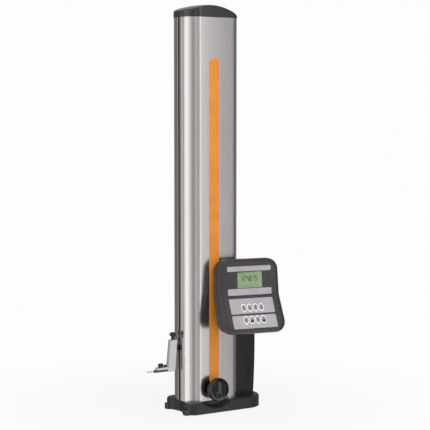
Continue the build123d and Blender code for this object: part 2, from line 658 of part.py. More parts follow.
def make_wheel_shaft():
    return rod_y(AXLE_RADIUS, WHEEL_X, (WHEEL_FRONT_Y + 12, BLOCK_OUTER_Y + 4), WHEEL_Z)


def make_handwheel():
    """Crowned ball-edged wheel with a hub behind it and a finger dimple."""
    front_edge = WHEEL_FRONT_Y + WHEEL_CROWN
    corners = [(0, WHEEL_HUB_BACK_Y), (WHEEL_HUB_RADIUS, WHEEL_HUB_BACK_Y),
               (WHEEL_HUB_RADIUS, WHEEL_BACK_Y), (WHEEL_RADIUS, WHEEL_BACK_Y),
               (WHEEL_RADIUS, front_edge)]
    crown = ThreePointArc(corners[-1], (WHEEL_RADIUS / 2, WHEEL_FRONT_Y + WHEEL_CROWN / 4),
                          (0, WHEEL_FRONT_Y))
    outline = make_face(Curve() + [Polyline(corners), crown, Line((0, WHEEL_FRONT_Y), corners[0])])
    rim = outline.vertices().filter_by(lambda v: v.X > WHEEL_RADIUS - 0.01)
    outline = fillet(rim.sort_by(Axis.Y)[-1:], WHEEL_BACK_RADIUS)
    rim = outline.vertices().filter_by(lambda v: v.X > WHEEL_RADIUS - 0.01)
    outline = fillet(rim.sort_by(Axis.Y)[:1], WHEEL_FRONT_RADIUS)
    wheel = Pos(WHEEL_X, 0, WHEEL_Z) * revolve(outline, Axis.Y)
    ball = (DIMPLE_RADIUS**2 + DIMPLE_DEPTH**2) / (2 * DIMPLE_DEPTH)
    offset_each = DIMPLE_OFFSET / sqrt(2)
    wheel -= Pos(WHEEL_X - offset_each, WHEEL_FRONT_Y - ball + DIMPLE_DEPTH + 1.4,
                 WHEEL_Z - offset_each) * Sphere(ball)
    return wheel - rod_y(AXLE_RADIUS, WHEEL_X, (WHEEL_FRONT_Y + 12, WHEEL_HUB_BACK_Y + 1), WHEEL_Z)


def make_lock_lever():
    """Small lever beside the hand wheel, with the spindle it turns on."""
    back = -COLUMN_HALF_WIDTH - LOOSE
    front = back - LEVER_HUB_WIDTH
    lever = rod_y(LEVER_HUB_RADIUS, LEVER_X, (front, back), LEVER_Z)
    lever += rod_y(LEVER_SPINDLE_RADIUS, LEVER_X, (back, -BLOCK_INNER_Y - 2), LEVER_Z)
    along = radians(LEVER_ANGLE)
    tip_x, tip_z = LEVER_X + LEVER_LENGTH * cos(along), LEVER_Z + LEVER_LENGTH * sin(along)
    arm = SlotCenterToCenter(LEVER_LENGTH, 2 * LEVER_TIP_RADIUS)
    arm = Pos((LEVER_X + tip_x) / 2, (LEVER_Z + tip_z) / 2) * Rot(0, 0, LEVER_ANGLE) * arm
    lever += extrude(Plane.XZ.offset(-back) * arm, LEVER_HUB_WIDTH - 1.5)
    knob_face = front - 4
    return lever + rod_y(LEVER_TIP_RADIUS, tip_x, (knob_face, back), tip_z)


# ---- carriage --------------------------------------------------------------
def make_carriage_frame():
    """Frame that reaches round the belt and counterweight to the guide column."""
    front, rear, corner = CARRIAGE_FRONT_X, CARRIAGE_REAR_X, CARRIAGE_CORNER
    inner, outer = CARRIAGE_SIDE_INNER_Y, SIDE_OUTER_Y
    plan = Pos((front + rear) / 2, 0) * RectangleRounded(rear - front, 2 * outer, corner)
    hollow_x = (FRONT_PLATE_REAR_X, rear - CARRIAGE_LIP)
    plan -= Pos(sum(hollow_x) / 2, 0) * Rectangle(hollow_x[1] - hollow_x[0], 2 * inner)
    lip_inner = GUIDE_HALF_WIDTH - PAD_WIDTH
    plan -= Pos(rear, 0) * Rectangle(2 * CARRIAGE_LIP + 1, 2 * lip_inner)
    frame = Pos(0, 0, CARRIAGE_Z_MIN) * extrude(plan, CARRIAGE_Z_MAX - CARRIAGE_Z_MIN)
    front_lip_x = front_pad_x()[0]
    for side in (-1, 1):
        ys = sorted((side * lip_inner, side * inner))
        frame += block((front_lip_x - CARRIAGE_LIP, front_lip_x), ys, (CARRIAGE_Z_MIN, CARRIAGE_Z_MAX))
    frame += block((front, FRONT_PLATE_REAR_X), (-lip_inner, lip_inner),
                   (CARRIAGE_NOSE_Z, CARRIAGE_Z_MIN))
    window = block((FRONT_PLATE_REAR_X + 10, front_lip_x - CARRIAGE_LIP - 8), (-outer, outer),
                   (CARRIAGE_Z_MIN + CARRIAGE_WAIST, CARRIAGE_Z_MAX - CARRIAGE_WAIST))
    frame -= fillet(window.edges().filter_by(Axis.Y), 10)
    frame -= reading_head_block()
    frame -= neck_blade_shape()
    return frame - neck_pin_shape()


def front_pad_x():
    return (GUIDE_X_MIN - PAD_GAP - 4.0, GUIDE_X_MIN - PAD_GAP)


def rear_pad_x():
    return (GUIDE_X_MAX + PAD_GAP, CARRIAGE_REAR_X - CARRIAGE_LIP)


def make_guide_pads():
    """Sliding pads between the frame and the guide column, high and low."""
    side_ys = (GUIDE_HALF_WIDTH + PAD_GAP, CARRIAGE_SIDE_INNER_Y)
    pads = []
    for low in (CARRIAGE_Z_MIN + 2, CARRIAGE_Z_MAX - 2 - PAD_HEIGHT):
        z = (low, low + PAD_HEIGHT)
        for side in (-1, 1):
            along = (GUIDE_X_MIN + 2, GUIDE_X_MIN + 2 + PAD_WIDTH)
            pads.append(block(along, sorted(side * y for y in side_ys), z))
            ys = sorted(side * y for y in (GUIDE_HALF_WIDTH - PAD_WIDTH, GUIDE_HALF_WIDTH - 2))
            pads.append(block(front_pad_x(), ys, z))
            pads.append(block(rear_pad_x(), ys, z))
    return Compound(children=pads)


def reading_head_block():
    return block((SCALE_X_MIN - 2, SCALE_X_MIN + SCALE_WIDTH + 2),
                 (GUIDE_HALF_WIDTH + SCALE_THICKNESS + LOOSE, SIDE_OUTER_Y + 5),
                 (CARRIAGE_Z_MIN + READING_HEAD_INSET, CARRIAGE_Z_MAX - READING_HEAD_INSET))


def belt_front_x():
    """Inner and outer face of the belt's front run."""
    return WHEEL_X - BELT_RADIUS - BELT_THICKNESS, WHEEL_X - BELT_RADIUS


def make_belt_clamp():
    """Clamp from the carriage's front plate round the belt's front run."""
    outer_x, inner_x = belt_front_x()
    z = (CLAMP_Z - CLAMP_HEIGHT / 2, CLAMP_Z + CLAMP_HEIGHT / 2)
    clamp = block((FRONT_PLATE_REAR_X, inner_x + 4), (-CLAMP_HALF_WIDTH, CLAMP_HALF_WIDTH), z)
    path = block((outer_x - LOOSE, inner_x + LOOSE),
                 (-BELT_WIDTH / 2 - LOOSE, BELT_WIDTH / 2 + LOOSE), z)
    return clamp - path


def make_counterweight():
    """Steel weight on the belt's rear run, between the two runs."""
    outer_x = WHEEL_X + BELT_RADIUS + BELT_THICKNESS
    inner_x = WHEEL_X + BELT_RADIUS
    z = (WEIGHT_Z_MIN, WEIGHT_Z_MIN + WEIGHT_LENGTH)
    half = WEIGHT_HALF_WIDTH
    weight = block((WEIGHT_X_MIN, outer_x + 2.6), (-half, half), z)
    weight = chamfer(weight.edges().filter_by(Axis.Z).sort_by(Axis.X)[:2], 4)
    path = block((inner_x - LOOSE, outer_x + LOOSE),
                 (-BELT_WIDTH / 2 - LOOSE, BELT_WIDTH / 2 + LOOSE), z)
    return weight - path


# ---- probe arm -------------------------------------------------------------
def probe_outline():
    return Polyline([(PROBE_TOP_FRONT_X, PROBE_Z_MAX), (PROBE_TOP_REAR_X, PROBE_Z_MAX),
                     (PROBE_BOTTOM_REAR_X, PROBE_Z_MIN), (PROBE_BOTTOM_FRONT_X, PROBE_Z_MIN)],
                    close=True)


def probe_rear_x(z):
    share = (z - PROBE_Z_MIN) / (PROBE_Z_MAX - PROBE_Z_MIN)
    return PROBE_BOTTOM_REAR_X + share * (PROBE_TOP_REAR_X - PROBE_BOTTOM_REAR_X)


def neck_blade_shape():
    """Blade through the slot, from the carriage's front plate to the bracket."""
    half = NECK_THICKNESS / 2
    return block((probe_rear_x(NECK_Z_MIN) - NECK_EMBED, FRONT_PLATE_REAR_X - 2), (-half, half),
                 (NECK_Z_MIN, NECK_Z_MAX))


def neck_pin_shape():
    return rod_x(NECK_PIN_RADIUS, (probe_rear_x(NECK_PIN_Z) - NECK_PIN_EMBED,
                                   FRONT_PLATE_REAR_X - 2), 0, NECK_PIN_Z)


def make_probe_bracket():
    bracket = extrude(Plane.XZ * make_face(probe_outline()), PROBE_PLATE / 2, both=True)
    bracket = fillet(bracket.edges().filter_by(Axis.Y).sort_by(Axis.Z)[-2:], 2.5)
    bracket = chamfer(bracket.faces().sort_by(Axis.Y)[0].edges(), 0.6)
    bracket = chamfer(bracket.faces().sort_by(Axis.Y)[-1].edges(), 0.6)
    bracket -= neck_blade_shape()
    bracket -= neck_pin_shape()
    bracket -= rod_z(KNOB_SCREW_RADIUS + RUNNING, KNOB_X, 0, (NECK_PIN_Z, PROBE_Z_MAX + 1))
    return bracket - foot_tongue()


def foot_tongue():
    """The probe foot's tongue, let into the bracket's front face."""
    return block((PROBE_BOTTOM_FRONT_X - 0.5, PROBE_BOTTOM_FRONT_X + TONGUE_LENGTH),
                 (-TONGUE_WIDTH / 2, TONGUE_WIDTH / 2), (SHANK_Z_MIN + 2, FOOT_TOP_Z - 1))


def make_probe_foot():
    """Light arm that carries the stylus holder and its two screws."""
    low, high = FOOT_TOP_Z - FOOT_PLATE, FOOT_TOP_Z
    arm = block((FOOT_X_MIN, PROBE_BOTTOM_FRONT_X - 0.2), (-FOOT_WIDTH / 2, FOOT_WIDTH / 2), (low, high))
    arm = fillet(arm.edges().filter_by(Axis.Z).sort_by(Axis.X)[:2], 4)
    arm += foot_tongue()
    arm -= rod_z(CLAMP_KNOB_SCREW + RUNNING, CLAMP_KNOB_X, 0, (low, high))
    return arm - rod_z(FOOT_SCREW_RADIUS, FOOT_SCREW_X, 0, (low, high))


def make_stylus_holder():
    """Dark shank under the arm that grips the stylus."""
    holder = block((SHANK_X_MIN, PROBE_BOTTOM_FRONT_X - 1.5), (-SHANK_WIDTH / 2, SHANK_WIDTH / 2),
                   (SHANK_Z_MIN, FOOT_TOP_Z - FOOT_PLATE))
    holder = chamfer(holder.edges().filter_by(Axis.Z).sort_by(Axis.X)[:2], 2.4)
    holder -= rod_x(STYLUS_RADIUS, (SHANK_X_MIN - 1, SHANK_X_MIN + STYLUS_EMBED), 0, STYLUS_Z)
    holder -= rod_z(CLAMP_KNOB_SCREW + RUNNING, CLAMP_KNOB_X, 0, (STYLUS_Z, FOOT_TOP_Z - FOOT_PLATE))
    return holder - rod_z(FOOT_SCREW_RADIUS, FOOT_SCREW_X, 0, (STYLUS_Z, FOOT_TOP_Z - FOOT_PLATE))


def make_stylus():
    """Stylus rod with the hard ball bonded to its end."""
    rod = rod_x(STYLUS_RADIUS, (STYLUS_TIP_X + BALL_RADIUS, SHANK_X_MIN + STYLUS_EMBED), 0, STYLUS_Z)
    return rod + Pos(STYLUS_TIP_X + BALL_RADIUS, 0, STYLUS_Z) * Sphere(BALL_RADIUS)


def make_foot_screw():
    shank = FOOT_TOP_Z - STYLUS_Z - 1
    return Pos(FOOT_SCREW_X, 0, FOOT_TOP_Z) * socket_screw(
        shank, FOOT_SCREW_RADIUS, FOOT_SCREW_HEAD, FOOT_SCREW_HEIGHT)


def make_probe_knob():
    """Mushroom knob whose screw clamps the bracket on the neck pin."""
    z0 = PROBE_Z_MAX + 0.2
    z1 = z0 + KNOB_STEM_HEIGHT
    z2 = z1 + KNOB_HEAD_HEIGHT
    knob = rod_z(KNOB_STEM_RADIUS, KNOB_X, 0, (z0, z1))
    head = rod_z(KNOB_HEAD_RADIUS, KNOB_X, 0, (z1, z2))
    head = fillet(head.faces().sort_by(Axis.Z)[-1].edges(), KNOB_HEAD_HEIGHT * 0.6)
    head = fillet(head.faces().sort_by(Axis.Z)[0].edges(), 1.5)
    screw_end = NECK_PIN_Z + NECK_PIN_RADIUS + SEAT
    return knob + head + rod_z(KNOB_SCREW_RADIUS, KNOB_X, 0, (screw_end, z0))


def make_stylus_knob():
    """Small grip screw that clamps the stylus."""
    z0 = FOOT_TOP_Z + CLAMP_KNOB_GAP
    z1 = z0 + CLAMP_KNOB_HEIGHT
    knob = rod_z(CLAMP_KNOB_RADIUS, CLAMP_KNOB_X, 0, (z0, z1))
    knob = chamfer(knob.faces().sort_by(Axis.Z)[-1].edges(), 1)
    for step in range(CLAMP_KNOB_GRIPS):
        angle = radians(step * 360 / CLAMP_KNOB_GRIPS)
        knob -= rod_z(0.9, CLAMP_KNOB_X + (CLAMP_KNOB_RADIUS + 0.2) * cos(angle),
                      (CLAMP_KNOB_RADIUS + 0.2) * sin(angle), (z0, z1))
    knob += rod_z(CLAMP_KNOB_RADIUS * 0.45, CLAMP_KNOB_X, 0, (z1, z1 + 0.8))
    return knob + rod_z(CLAMP_KNOB_SCREW, CLAMP_KNOB_X, 0, (STYLUS_Z + STYLUS_RADIUS + 0.1, z0))


# ---- handle post -----------------------------------------------------------
def post_form(inset):
    """The handle post's body, drawn inside its outer face by inset."""
    half = POST_HALF_WIDTH - inset
    front, bottom, top = POST_FRONT_X + inset, BASE_TOP_Z + inset, POST_TOP_Z - inset
    bottom_rear = (POST_BOTTOM_REAR_X - inset, bottom)
    middle_rear = (POST_MIDDLE_REAR_X - inset, (bottom + top) / 2)
    top_rear = (POST_TOP_REAR_X - inset, top)
    edges = [Line((front, bottom), bottom_rear), ThreePointArc(bottom_rear, middle_rear, top_rear),
             Line(top_rear, (front, top)), Line((front, top), (front, bottom))]
    form = extrude(Plane.XZ * make_face(Curve() + edges), half, both=True)
    rear = form.edges().filter_by(lambda e: e.center().X > POST_BOTTOM_REAR_X - inset - 1
                                  and abs(e.center().Y) > half - 0.1)
    form = fillet(rear, POST_REAR_RADIUS - inset)
    top_loop = form.faces().sort_by(Axis.Z)[-1].edges()
    return fillet(top_loop.filter_by(lambda e: e.center().X > front + 1), POST_TOP_RADIUS - inset)


def relief_cut():
    """Dished oval on the post's near side, in concentric steps."""
    cut = None
    for step in range(RELIEF_STEPS):
        shrink = step * RELIEF_STEP_WIDTH
        oval = Ellipse(RELIEF_HALF_WIDTH - shrink, RELIEF_HALF_HEIGHT - shrink)
        depth = (step + 1) * RELIEF_STEP_DEPTH
        face = Plane.XZ.offset(POST_HALF_WIDTH + 1) * Pos(RELIEF_X, RELIEF_Z) * oval
        layer = extrude(face, -depth - 1)
        cut = layer if cut is None else cut + layer
    return cut


def relief_floor_y():
    return -POST_HALF_WIDTH + RELIEF_STEPS * RELIEF_STEP_DEPTH


def button_back_y():
    return relief_floor_y() - BUTTON_PROUD + BUTTON_LENGTH


def post_shell():
    """Both halves together, hollow, with the holes of what passes through."""
    shell = post_form(0)
    kept = extrude(Plane.XZ.offset(-relief_floor_y() - 2 * POST_WALL) * Pos(RELIEF_X, RELIEF_Z)
                   * Ellipse(RELIEF_HALF_WIDTH, RELIEF_HALF_HEIGHT), 2 * POST_WALL)
    kept += rod_z(SWIVEL_HUB_RADIUS, SWIVEL_X, 0, (POST_TOP_Z - SWIVEL_PIN_BURIED, POST_TOP_Z))
    kept += block((POST_FRONT_X, POST_MIDDLE_REAR_X), (-POST_HALF_WIDTH, POST_HALF_WIDTH),
                  (BATTERY_Z_MIN - SHELF_THICKNESS, BATTERY_Z_MIN))
    kept += rod_y(BUTTON_RADIUS, RELIEF_X, (0, POST_HALF_WIDTH), RELIEF_Z)
    for x, z in POST_SCREWS:
        kept += rod_y(POST_BOSS_RADIUS, x, (-POST_HALF_WIDTH, POST_HALF_WIDTH), z)
    shell -= post_form(POST_WALL) - kept
    shell -= relief_cut()
    shell -= rod_y(BUTTON_RADIUS + LOOSE, RELIEF_X, (-POST_HALF_WIDTH - 1, 0), RELIEF_Z)
    collar = relief_floor_y() + POST_WALL
    shell -= rod_y(BUTTON_RADIUS + BUTTON_COLLAR + LOOSE, RELIEF_X, (collar, 0), RELIEF_Z)
    shell -= rod_z(SWIVEL_PIN_RADIUS, SWIVEL_X, 0, (POST_TOP_Z - SWIVEL_PIN_BURIED, POST_TOP_Z + 1))
    for x, z in POST_SCREWS:
        shell -= rod_y(POST_SCREW_RADIUS, x, (-POST_HALF_WIDTH / 2, POST_HALF_WIDTH), z)
        shell -= rod_y(POST_SCREW_HEAD, x, (POST_HALF_WIDTH - POST_SCREW_HEAD_HEIGHT - 1,
                                            POST_HALF_WIDTH + 1), z)
    return shell


def make_post_halves():
    shell = post_shell()
    reach = 2 * POST_TOP_Z
    near = shell & block((0, reach), (-reach, 0), (0, reach))
    far = shell & block((0, reach), (0, reach), (0, reach))
    return near, far


def make_post_screws():
    """Screws that join the halves, sunk in the far side."""
    seat = POST_HALF_WIDTH - POST_SCREW_HEAD_HEIGHT - 1
    screw = socket_screw(POST_HALF_WIDTH / 2 + seat, POST_SCREW_RADIUS, POST_SCREW_HEAD,
                         POST_SCREW_HEAD_HEIGHT)
    return Compound(children=[Pos(x, seat, z) * Rot(-90, 0, 0) * screw for x, z in POST_SCREWS])


def make_air_button():
    """Push-button in the oval relief; its collar keeps it in the shell."""
    back = button_back_y()
    button = rod_y(BUTTON_RADIUS, RELIEF_X, (back - BUTTON_LENGTH, back), RELIEF_Z)
    button = fillet(button.faces().sort_by(Axis.Y)[0].edges(), 1.2)
    collar = relief_floor_y() + POST_WALL + LOOSE
    return button + rod_y(BUTTON_RADIUS + BUTTON_COLLAR, RELIEF_X, (collar, collar + 1.5), RELIEF_Z)


def make_button_switch():
    """Switch on the far half's post, a travel behind the button."""
    half = SWITCH_SIZE / 2
    return block((RELIEF_X - half, RELIEF_X + half), (button_back_y() + BUTTON_TRAVEL + LOOSE, 0),
                 (RELIEF_Z - half, RELIEF_Z + half))


def make_battery_pack():
    x = (POST_FRONT_X + POST_BOTTOM_REAR_X) / 2
    pack = block((x - BATTERY_LENGTH / 2, x + BATTERY_LENGTH / 2),
                 (-BATTERY_DEPTH / 2, BATTERY_DEPTH / 2), (BATTERY_Z_MIN, BATTERY_Z_MIN + BATTERY_HEIGHT))
    return fillet(pack.edges().filter_by(Axis.Z), 4)


def make_air_pump():
    """Small pump on the post's floor that feeds the air cushion."""
    floor = BASE_TOP_Z + POST_WALL
    head = floor + PUMP_LENGTH / 2
    pump = rod_z(PUMP_RADIUS, PUMP_X, 0, (floor, head))
    return pump + rod_z(PUMP_MOTOR_RADIUS, PUMP_X, 0, (head, floor + PUMP_LENGTH))


# ---- swivel arm (drawn in the panel's frame) --------------------------------
def make_swivel_pin():
    top = HUB_BOTTOM_Z + SWIVEL_HUB_HEIGHT + LOOSE
    pin = rod_z(SWIVEL_PIN_RADIUS, SWIVEL_X, 0, (POST_TOP_Z - SWIVEL_PIN_BURIED, top))
    head = rod_z(SWIVEL_PIN_HEAD_RADIUS, SWIVEL_X, 0, (top, top + SWIVEL_PIN_HEAD))
    return pin + fillet(head.faces().sort_by(Axis.Z)[-1].edges(), 1)


def make_swivel_arm():
    z = (HUB_BOTTOM_Z, HUB_BOTTOM_Z + SWIVEL_HUB_HEIGHT)
    half = ARM_HALF_WIDTH
    arm = rod_z(SWIVEL_HUB_RADIUS, 0, 0, z)
    inset = SWIVEL_HUB_HEIGHT / 2 - TILT_BARREL_RADIUS
    arm += block((-half, half), (-TILT_AXIS_REACH, 0), (z[0] + inset, z[1] - inset))
    arm += rod_x(TILT_BARREL_RADIUS, (-half, half), -TILT_AXIS_REACH, TILT_AXIS_Z)
    arm -= rod_z(SWIVEL_PIN_RADIUS + RUNNING, 0, 0, z)
    return PANEL_FRAME * (arm - rod_x(TILT_PIN_RADIUS, (-half, half), -TILT_AXIS_REACH, TILT_AXIS_Z))


def ear_span():
    """Inner and outer face of the panel's ears beside the arm."""
    return ARM_HALF_WIDTH + LOOSE, ARM_HALF_WIDTH + LOOSE + EAR_THICKNESS


def make_tilt_pin():
    reach = ear_span()[1]
    return PANEL_FRAME * rod_x(TILT_PIN_RADIUS, (-reach, reach), -TILT_AXIS_REACH, TILT_AXIS_Z)


# ---- control panel (drawn in the panel's frame) -----------------------------
def facet(upper):
    """Plane on a front facet: local y runs away from the fold, z outward."""
    tilt = radians(PANEL_UPPER_TILT if upper else PANEL_LOWER_TILT)
    outward = (0, -cos(tilt), sin(tilt))
    sideways = (1, 0, 0) if upper else (-1, 0, 0)
    return Plane(origin=(PANEL_OFFSET, -PANEL_REACH, PANEL_FOLD_Z), x_dir=sideways, z_dir=outward)


def front_y(z, behind=0.0):
    """The front's y at height z, moved back by behind."""
    tilt = PANEL_UPPER_TILT if z > PANEL_FOLD_Z else PANEL_LOWER_TILT
    return -PANEL_REACH + (z - PANEL_FOLD_Z) * tan(radians(tilt)) + behind


def panel_side_face(front_shift, back_shift, top, bottom):
    """Side view between two lines that follow the front and the back."""
    fold = PANEL_FOLD_Z
    points = [(front_y(bottom, front_shift), bottom), (front_y(fold, front_shift), fold),
              (front_y(top, front_shift), top), (front_y(top, PANEL_DEPTH_TOP - back_shift), top),
              (front_y(fold, PANEL_DEPTH_FOLD - back_shift), fold),
              (front_y(bottom, PANEL_DEPTH_BOTTOM - back_shift), bottom)]
    return Plane.YZ * make_face(Polyline(points, close=True))


def panel_outline(inset):
    """Front view of the housing, narrower at the top, with round corners."""
    top, bottom = PANEL_TOP_Z - inset, PANEL_BOTTOM_Z + inset
    low, high = PANEL_HALF_WIDTH - inset, PANEL_HALF_WIDTH - PANEL_TAPER - inset
    points = [(-low, bottom), (low, bottom), (high, top), (-high, top)]
    outline = make_face(Polyline(points, close=True))
    return Pos(PANEL_OFFSET, 0) * fillet(outline.vertices(), PANEL_CORNER - inset)


def panel_form(inset):
    """The closed panel housing, drawn inside its outer face by inset."""
    side = panel_side_face(inset, inset, PANEL_TOP_Z - inset, PANEL_BOTTOM_Z + inset)
    form = Pos(PANEL_OFFSET, 0, 0) * extrude(side, PANEL_HALF_WIDTH, both=True)
    form &= extrude(Plane.XZ * panel_outline(inset), 2 * PANEL_REACH)
    fold_edges = form.edges().filter_by(Axis.X).filter_by(lambda e: abs(e.center().Z - PANEL_FOLD_Z) < 1)
    form = fillet(fold_edges, PANEL_FOLD_RADIUS)
    form = fillet(form.edges().filter_by(lambda e: is_rim(e, True)), PANEL_FRONT_RADIUS - inset)
    return fillet(form.edges().filter_by(lambda e: is_rim(e, False)), PANEL_BACK_RADIUS - inset)


def is_rim(edge, front):
    """True for the edges round the front, or else round the back."""
    spot = edge.center()
    if abs(edge.tangent_at(0.5).Y) > 0.9:
        return False
    reach = PANEL_CORNER + PANEL_RIM_MARGIN
    near_side = abs(spot.X - PANEL_OFFSET) > PANEL_HALF_WIDTH - reach
    near_end = min(PANEL_TOP_Z - spot.Z, spot.Z - PANEL_BOTTOM_Z) < reach
    if not near_side and not near_end:
        return False
    middle = (front_y(spot.Z) + panel_back_y(spot.Z)) / 2
    return (spot.Y < middle) == front


def wall_depth(upper):
    """Thickness of the housing's front wall, square to a facet."""
    return PANEL_WALL * cos(radians(PANEL_UPPER_TILT if upper else PANEL_LOWER_TILT))


def on_facet(upper, x, v, depth):
    """Box on a facet: x across, v away from the fold, depth outward."""
    return facet(upper).location * block(x, v, depth)


def plate_shape(upper, v, depth):
    """Round-cornered trim plate between the pair depth."""
    plate = block((-STRIP_HALF_WIDTH, STRIP_HALF_WIDTH), v, depth)
    plate = fillet(plate.edges().filter_by(Axis.Z), PLATE_CORNER)
    return facet(upper).location * plate


def key_places():
    """Centre of each key on the lower facet, row by row."""
    middle = (KEY_COUNT - 1) / 2
    return [((middle - column) * KEY_PITCH, v) for v in KEY_ROWS_V for column in range(KEY_COUNT)]


def key_hole(x, v):
    hole = Ellipse(KEY_WIDTH / 2 + KEY_GAP, KEY_HEIGHT / 2 + KEY_GAP)
    return facet(False).location * Pos(x, v, -PANEL_DEPTH_TOP / 2) * extrude(hole, PANEL_DEPTH_TOP)


def panel_screw_places():
    xs = (PANEL_OFFSET - PANEL_HALF_WIDTH + PANEL_SCREW_INSET_X,
          PANEL_OFFSET + PANEL_HALF_WIDTH - PANEL_SCREW_INSET_X)
    zs = (PANEL_BOTTOM_Z + PANEL_CORNER, PANEL_TOP_Z - PANEL_SCREW_INSET_X)
    return [(x, z) for x in xs for z in zs]


def panel_back_y(z):
    """The flat back's y at height z."""
    if z > PANEL_FOLD_Z:
        share = (z - PANEL_FOLD_Z) / (PANEL_TOP_Z - PANEL_FOLD_Z)
        end, end_z = PANEL_DEPTH_TOP, PANEL_TOP_Z
    else:
        share = (PANEL_FOLD_Z - z) / (PANEL_FOLD_Z - PANEL_BOTTOM_Z)
        end, end_z = PANEL_DEPTH_BOTTOM, PANEL_BOTTOM_Z
    fold_y = front_y(PANEL_FOLD_Z, PANEL_DEPTH_FOLD)
    return fold_y + share * (front_y(end_z, end) - fold_y)


def panel_seam_region():
    """Everything in front of the seam between the two shells."""
    low, high = PANEL_BOTTOM_Z - 20, PANEL_TOP_Z + 20
    zs = (low, PANEL_FOLD_Z, high)
    points = [(front_y(z, -PANEL_REACH), z) for z in zs]
    points += [(front_y(z, PANEL_SEAM), z) for z in reversed(zs)]
    side = Plane.YZ * make_face(Polyline(points, close=True))
    return Pos(PANEL_OFFSET, 0, 0) * extrude(side, 2 * PANEL_HALF_WIDTH, both=True)


def make_panel_shells():
    """Front and rear shell of the control panel, hollow, with screw bosses."""
    bosses = None
    for x, z in panel_screw_places():
        boss = rod_y(PANEL_SCREW_BOSS, x, (-2 * PANEL_REACH, 0), z)
        bosses = boss if bosses is None else bosses + boss
    housing = panel_form(0)
    housing -= panel_form(PANEL_WALL) - bosses
    for x, z in panel_screw_places():
        back = panel_back_y(z)
        housing -= rod_y(PANEL_SCREW_RADIUS, x, (front_y(z, PANEL_SEAM - 8), back), z)
        housing -= rod_y(PANEL_SCREW_HEAD + SEAT, x, (back - 3, back + 10), z)
    inner, outer = ear_span()
    ears = None
    for x in ((inner, outer), (-outer, -inner)):
        ear = rod_x(TILT_BARREL_RADIUS, x, -TILT_AXIS_REACH, TILT_AXIS_Z)
        ear += block(x, (panel_back_y(TILT_AXIS_Z) - PANEL_WALL / 2, -TILT_AXIS_REACH),
                     (TILT_AXIS_Z - TILT_BARREL_RADIUS, TILT_AXIS_Z + TILT_BARREL_RADIUS))
        ears = ear if ears is None else ears + ear
    ears -= rod_x(TILT_PIN_RADIUS + RUNNING, (-outer, outer), -TILT_AXIS_REACH, TILT_AXIS_Z)
    region = panel_seam_region()
    rear = housing - region + ears
    front = housing & region
    for upper, v in trim_plates():
        front -= plate_shape(upper, v, (-PLATE_RECESS, 2))
    border = DISPLAY_GLASS_BORDER
    front -= on_facet(True, (DISPLAY_X_MIN - border, DISPLAY_X_MAX + border),
                      (DISPLAY_V_MIN - border, DISPLAY_V_MAX + border), (-DISPLAY_GLASS, 2))
    front -= on_facet(True, (DISPLAY_X_MIN, DISPLAY_X_MAX), (DISPLAY_V_MIN, DISPLAY_V_MAX),
                      (-2 * PANEL_WALL, 2))
    groove = STRIP_HALF_WIDTH + GROOVE_OVERRUN
    front -= block((PANEL_OFFSET - groove, PANEL_OFFSET + groove),
                   (-2 * PANEL_REACH, -PANEL_REACH + GROOVE_DEPTH),
                   (PANEL_FOLD_Z - GROOVE_WIDTH / 2, PANEL_FOLD_Z + GROOVE_WIDTH / 2))
    for x, v in key_places():
        front -= key_hole(x, v)
    return PANEL_FRAME * front, PANEL_FRAME * rear


def trim_plates():
    return ((True, UPPER_STRIP_V), (True, LOWER_STRIP_V), (False, UPPER_PLATE_V),
            (False, LOWER_PLATE_V))


def make_trim_plates():
    """Two strips round the display and the two plates round the keys."""
    plates = []
    for upper, v in trim_plates():
        plate = plate_shape(upper, v, (-PLATE_RECESS, PLATE_THICKNESS - PLATE_RECESS))
        if not upper:
            for x, key_v in key_places():
                if v[0] < key_v < v[1]:
                    plate -= key_hole(x, key_v)
        plates.append(PANEL_FRAME * plate)
    return Compound(children=plates)


def make_display_window():
    border = DISPLAY_GLASS_BORDER
    return PANEL_FRAME * on_facet(True, (DISPLAY_X_MIN - border, DISPLAY_X_MAX + border),
                                  (DISPLAY_V_MIN - border, DISPLAY_V_MAX + border),
                                  (-DISPLAY_GLASS, 0))


def make_display_module():
    back = -wall_depth(True)
    return PANEL_FRAME * on_facet(True, (DISPLAY_X_MIN - 3, DISPLAY_X_MAX + 3),
                                  (DISPLAY_V_MIN - 3, DISPLAY_V_MAX + 3),
                                  (back - DISPLAY_MODULE_DEPTH, back))


def make_key(x, v):
    """Oval key cap with two tabs that keep it behind the front shell."""
    back = -wall_depth(False) - KEY_TAB_GAP - KEY_TAB_THICKNESS
    cap = Pos(0, 0, back) * extrude(Ellipse(KEY_WIDTH / 2, KEY_HEIGHT / 2), KEY_PROUD - back)
    cap = fillet(cap.faces().sort_by(Axis.Z)[-1].edges(), 0.8)
    half_tabs = KEY_HEIGHT / 2 + KEY_TAB_REACH
    cap += block((-KEY_TAB_WIDTH / 2, KEY_TAB_WIDTH / 2), (-half_tabs, half_tabs),
                 (back, back + KEY_TAB_THICKNESS))
    return PANEL_FRAME * facet(False).location * Pos(x, v, 0) * cap


def key_mat_front():
    """Depth of the mat's front, one travel behind the keys."""
    return -wall_depth(False) - KEY_TAB_GAP - KEY_TAB_THICKNESS - KEY_TRAVEL - LOOSE / 3


def key_field():
    """Half width and v span that the mat and the board must cover."""
    half = KEY_COUNT * KEY_PITCH / 2 + 4
    return half, (KEY_ROWS_V[0] - KEY_HEIGHT / 2 - 3, KEY_ROWS_V[1] + KEY_HEIGHT / 2 + 3)


def make_key_mat():
    half, v = key_field()
    front = key_mat_front()
    return PANEL_FRAME * on_facet(False, (-half, half), v, (front - KEY_MAT_THICKNESS, front))


def make_circuit_board():
    half, v = key_field()
    front = key_mat_front() - KEY_MAT_THICKNESS
    return PANEL_FRAME * on_facet(False, (-half - 12, half + 12), v, (front - BOARD_THICKNESS, front))


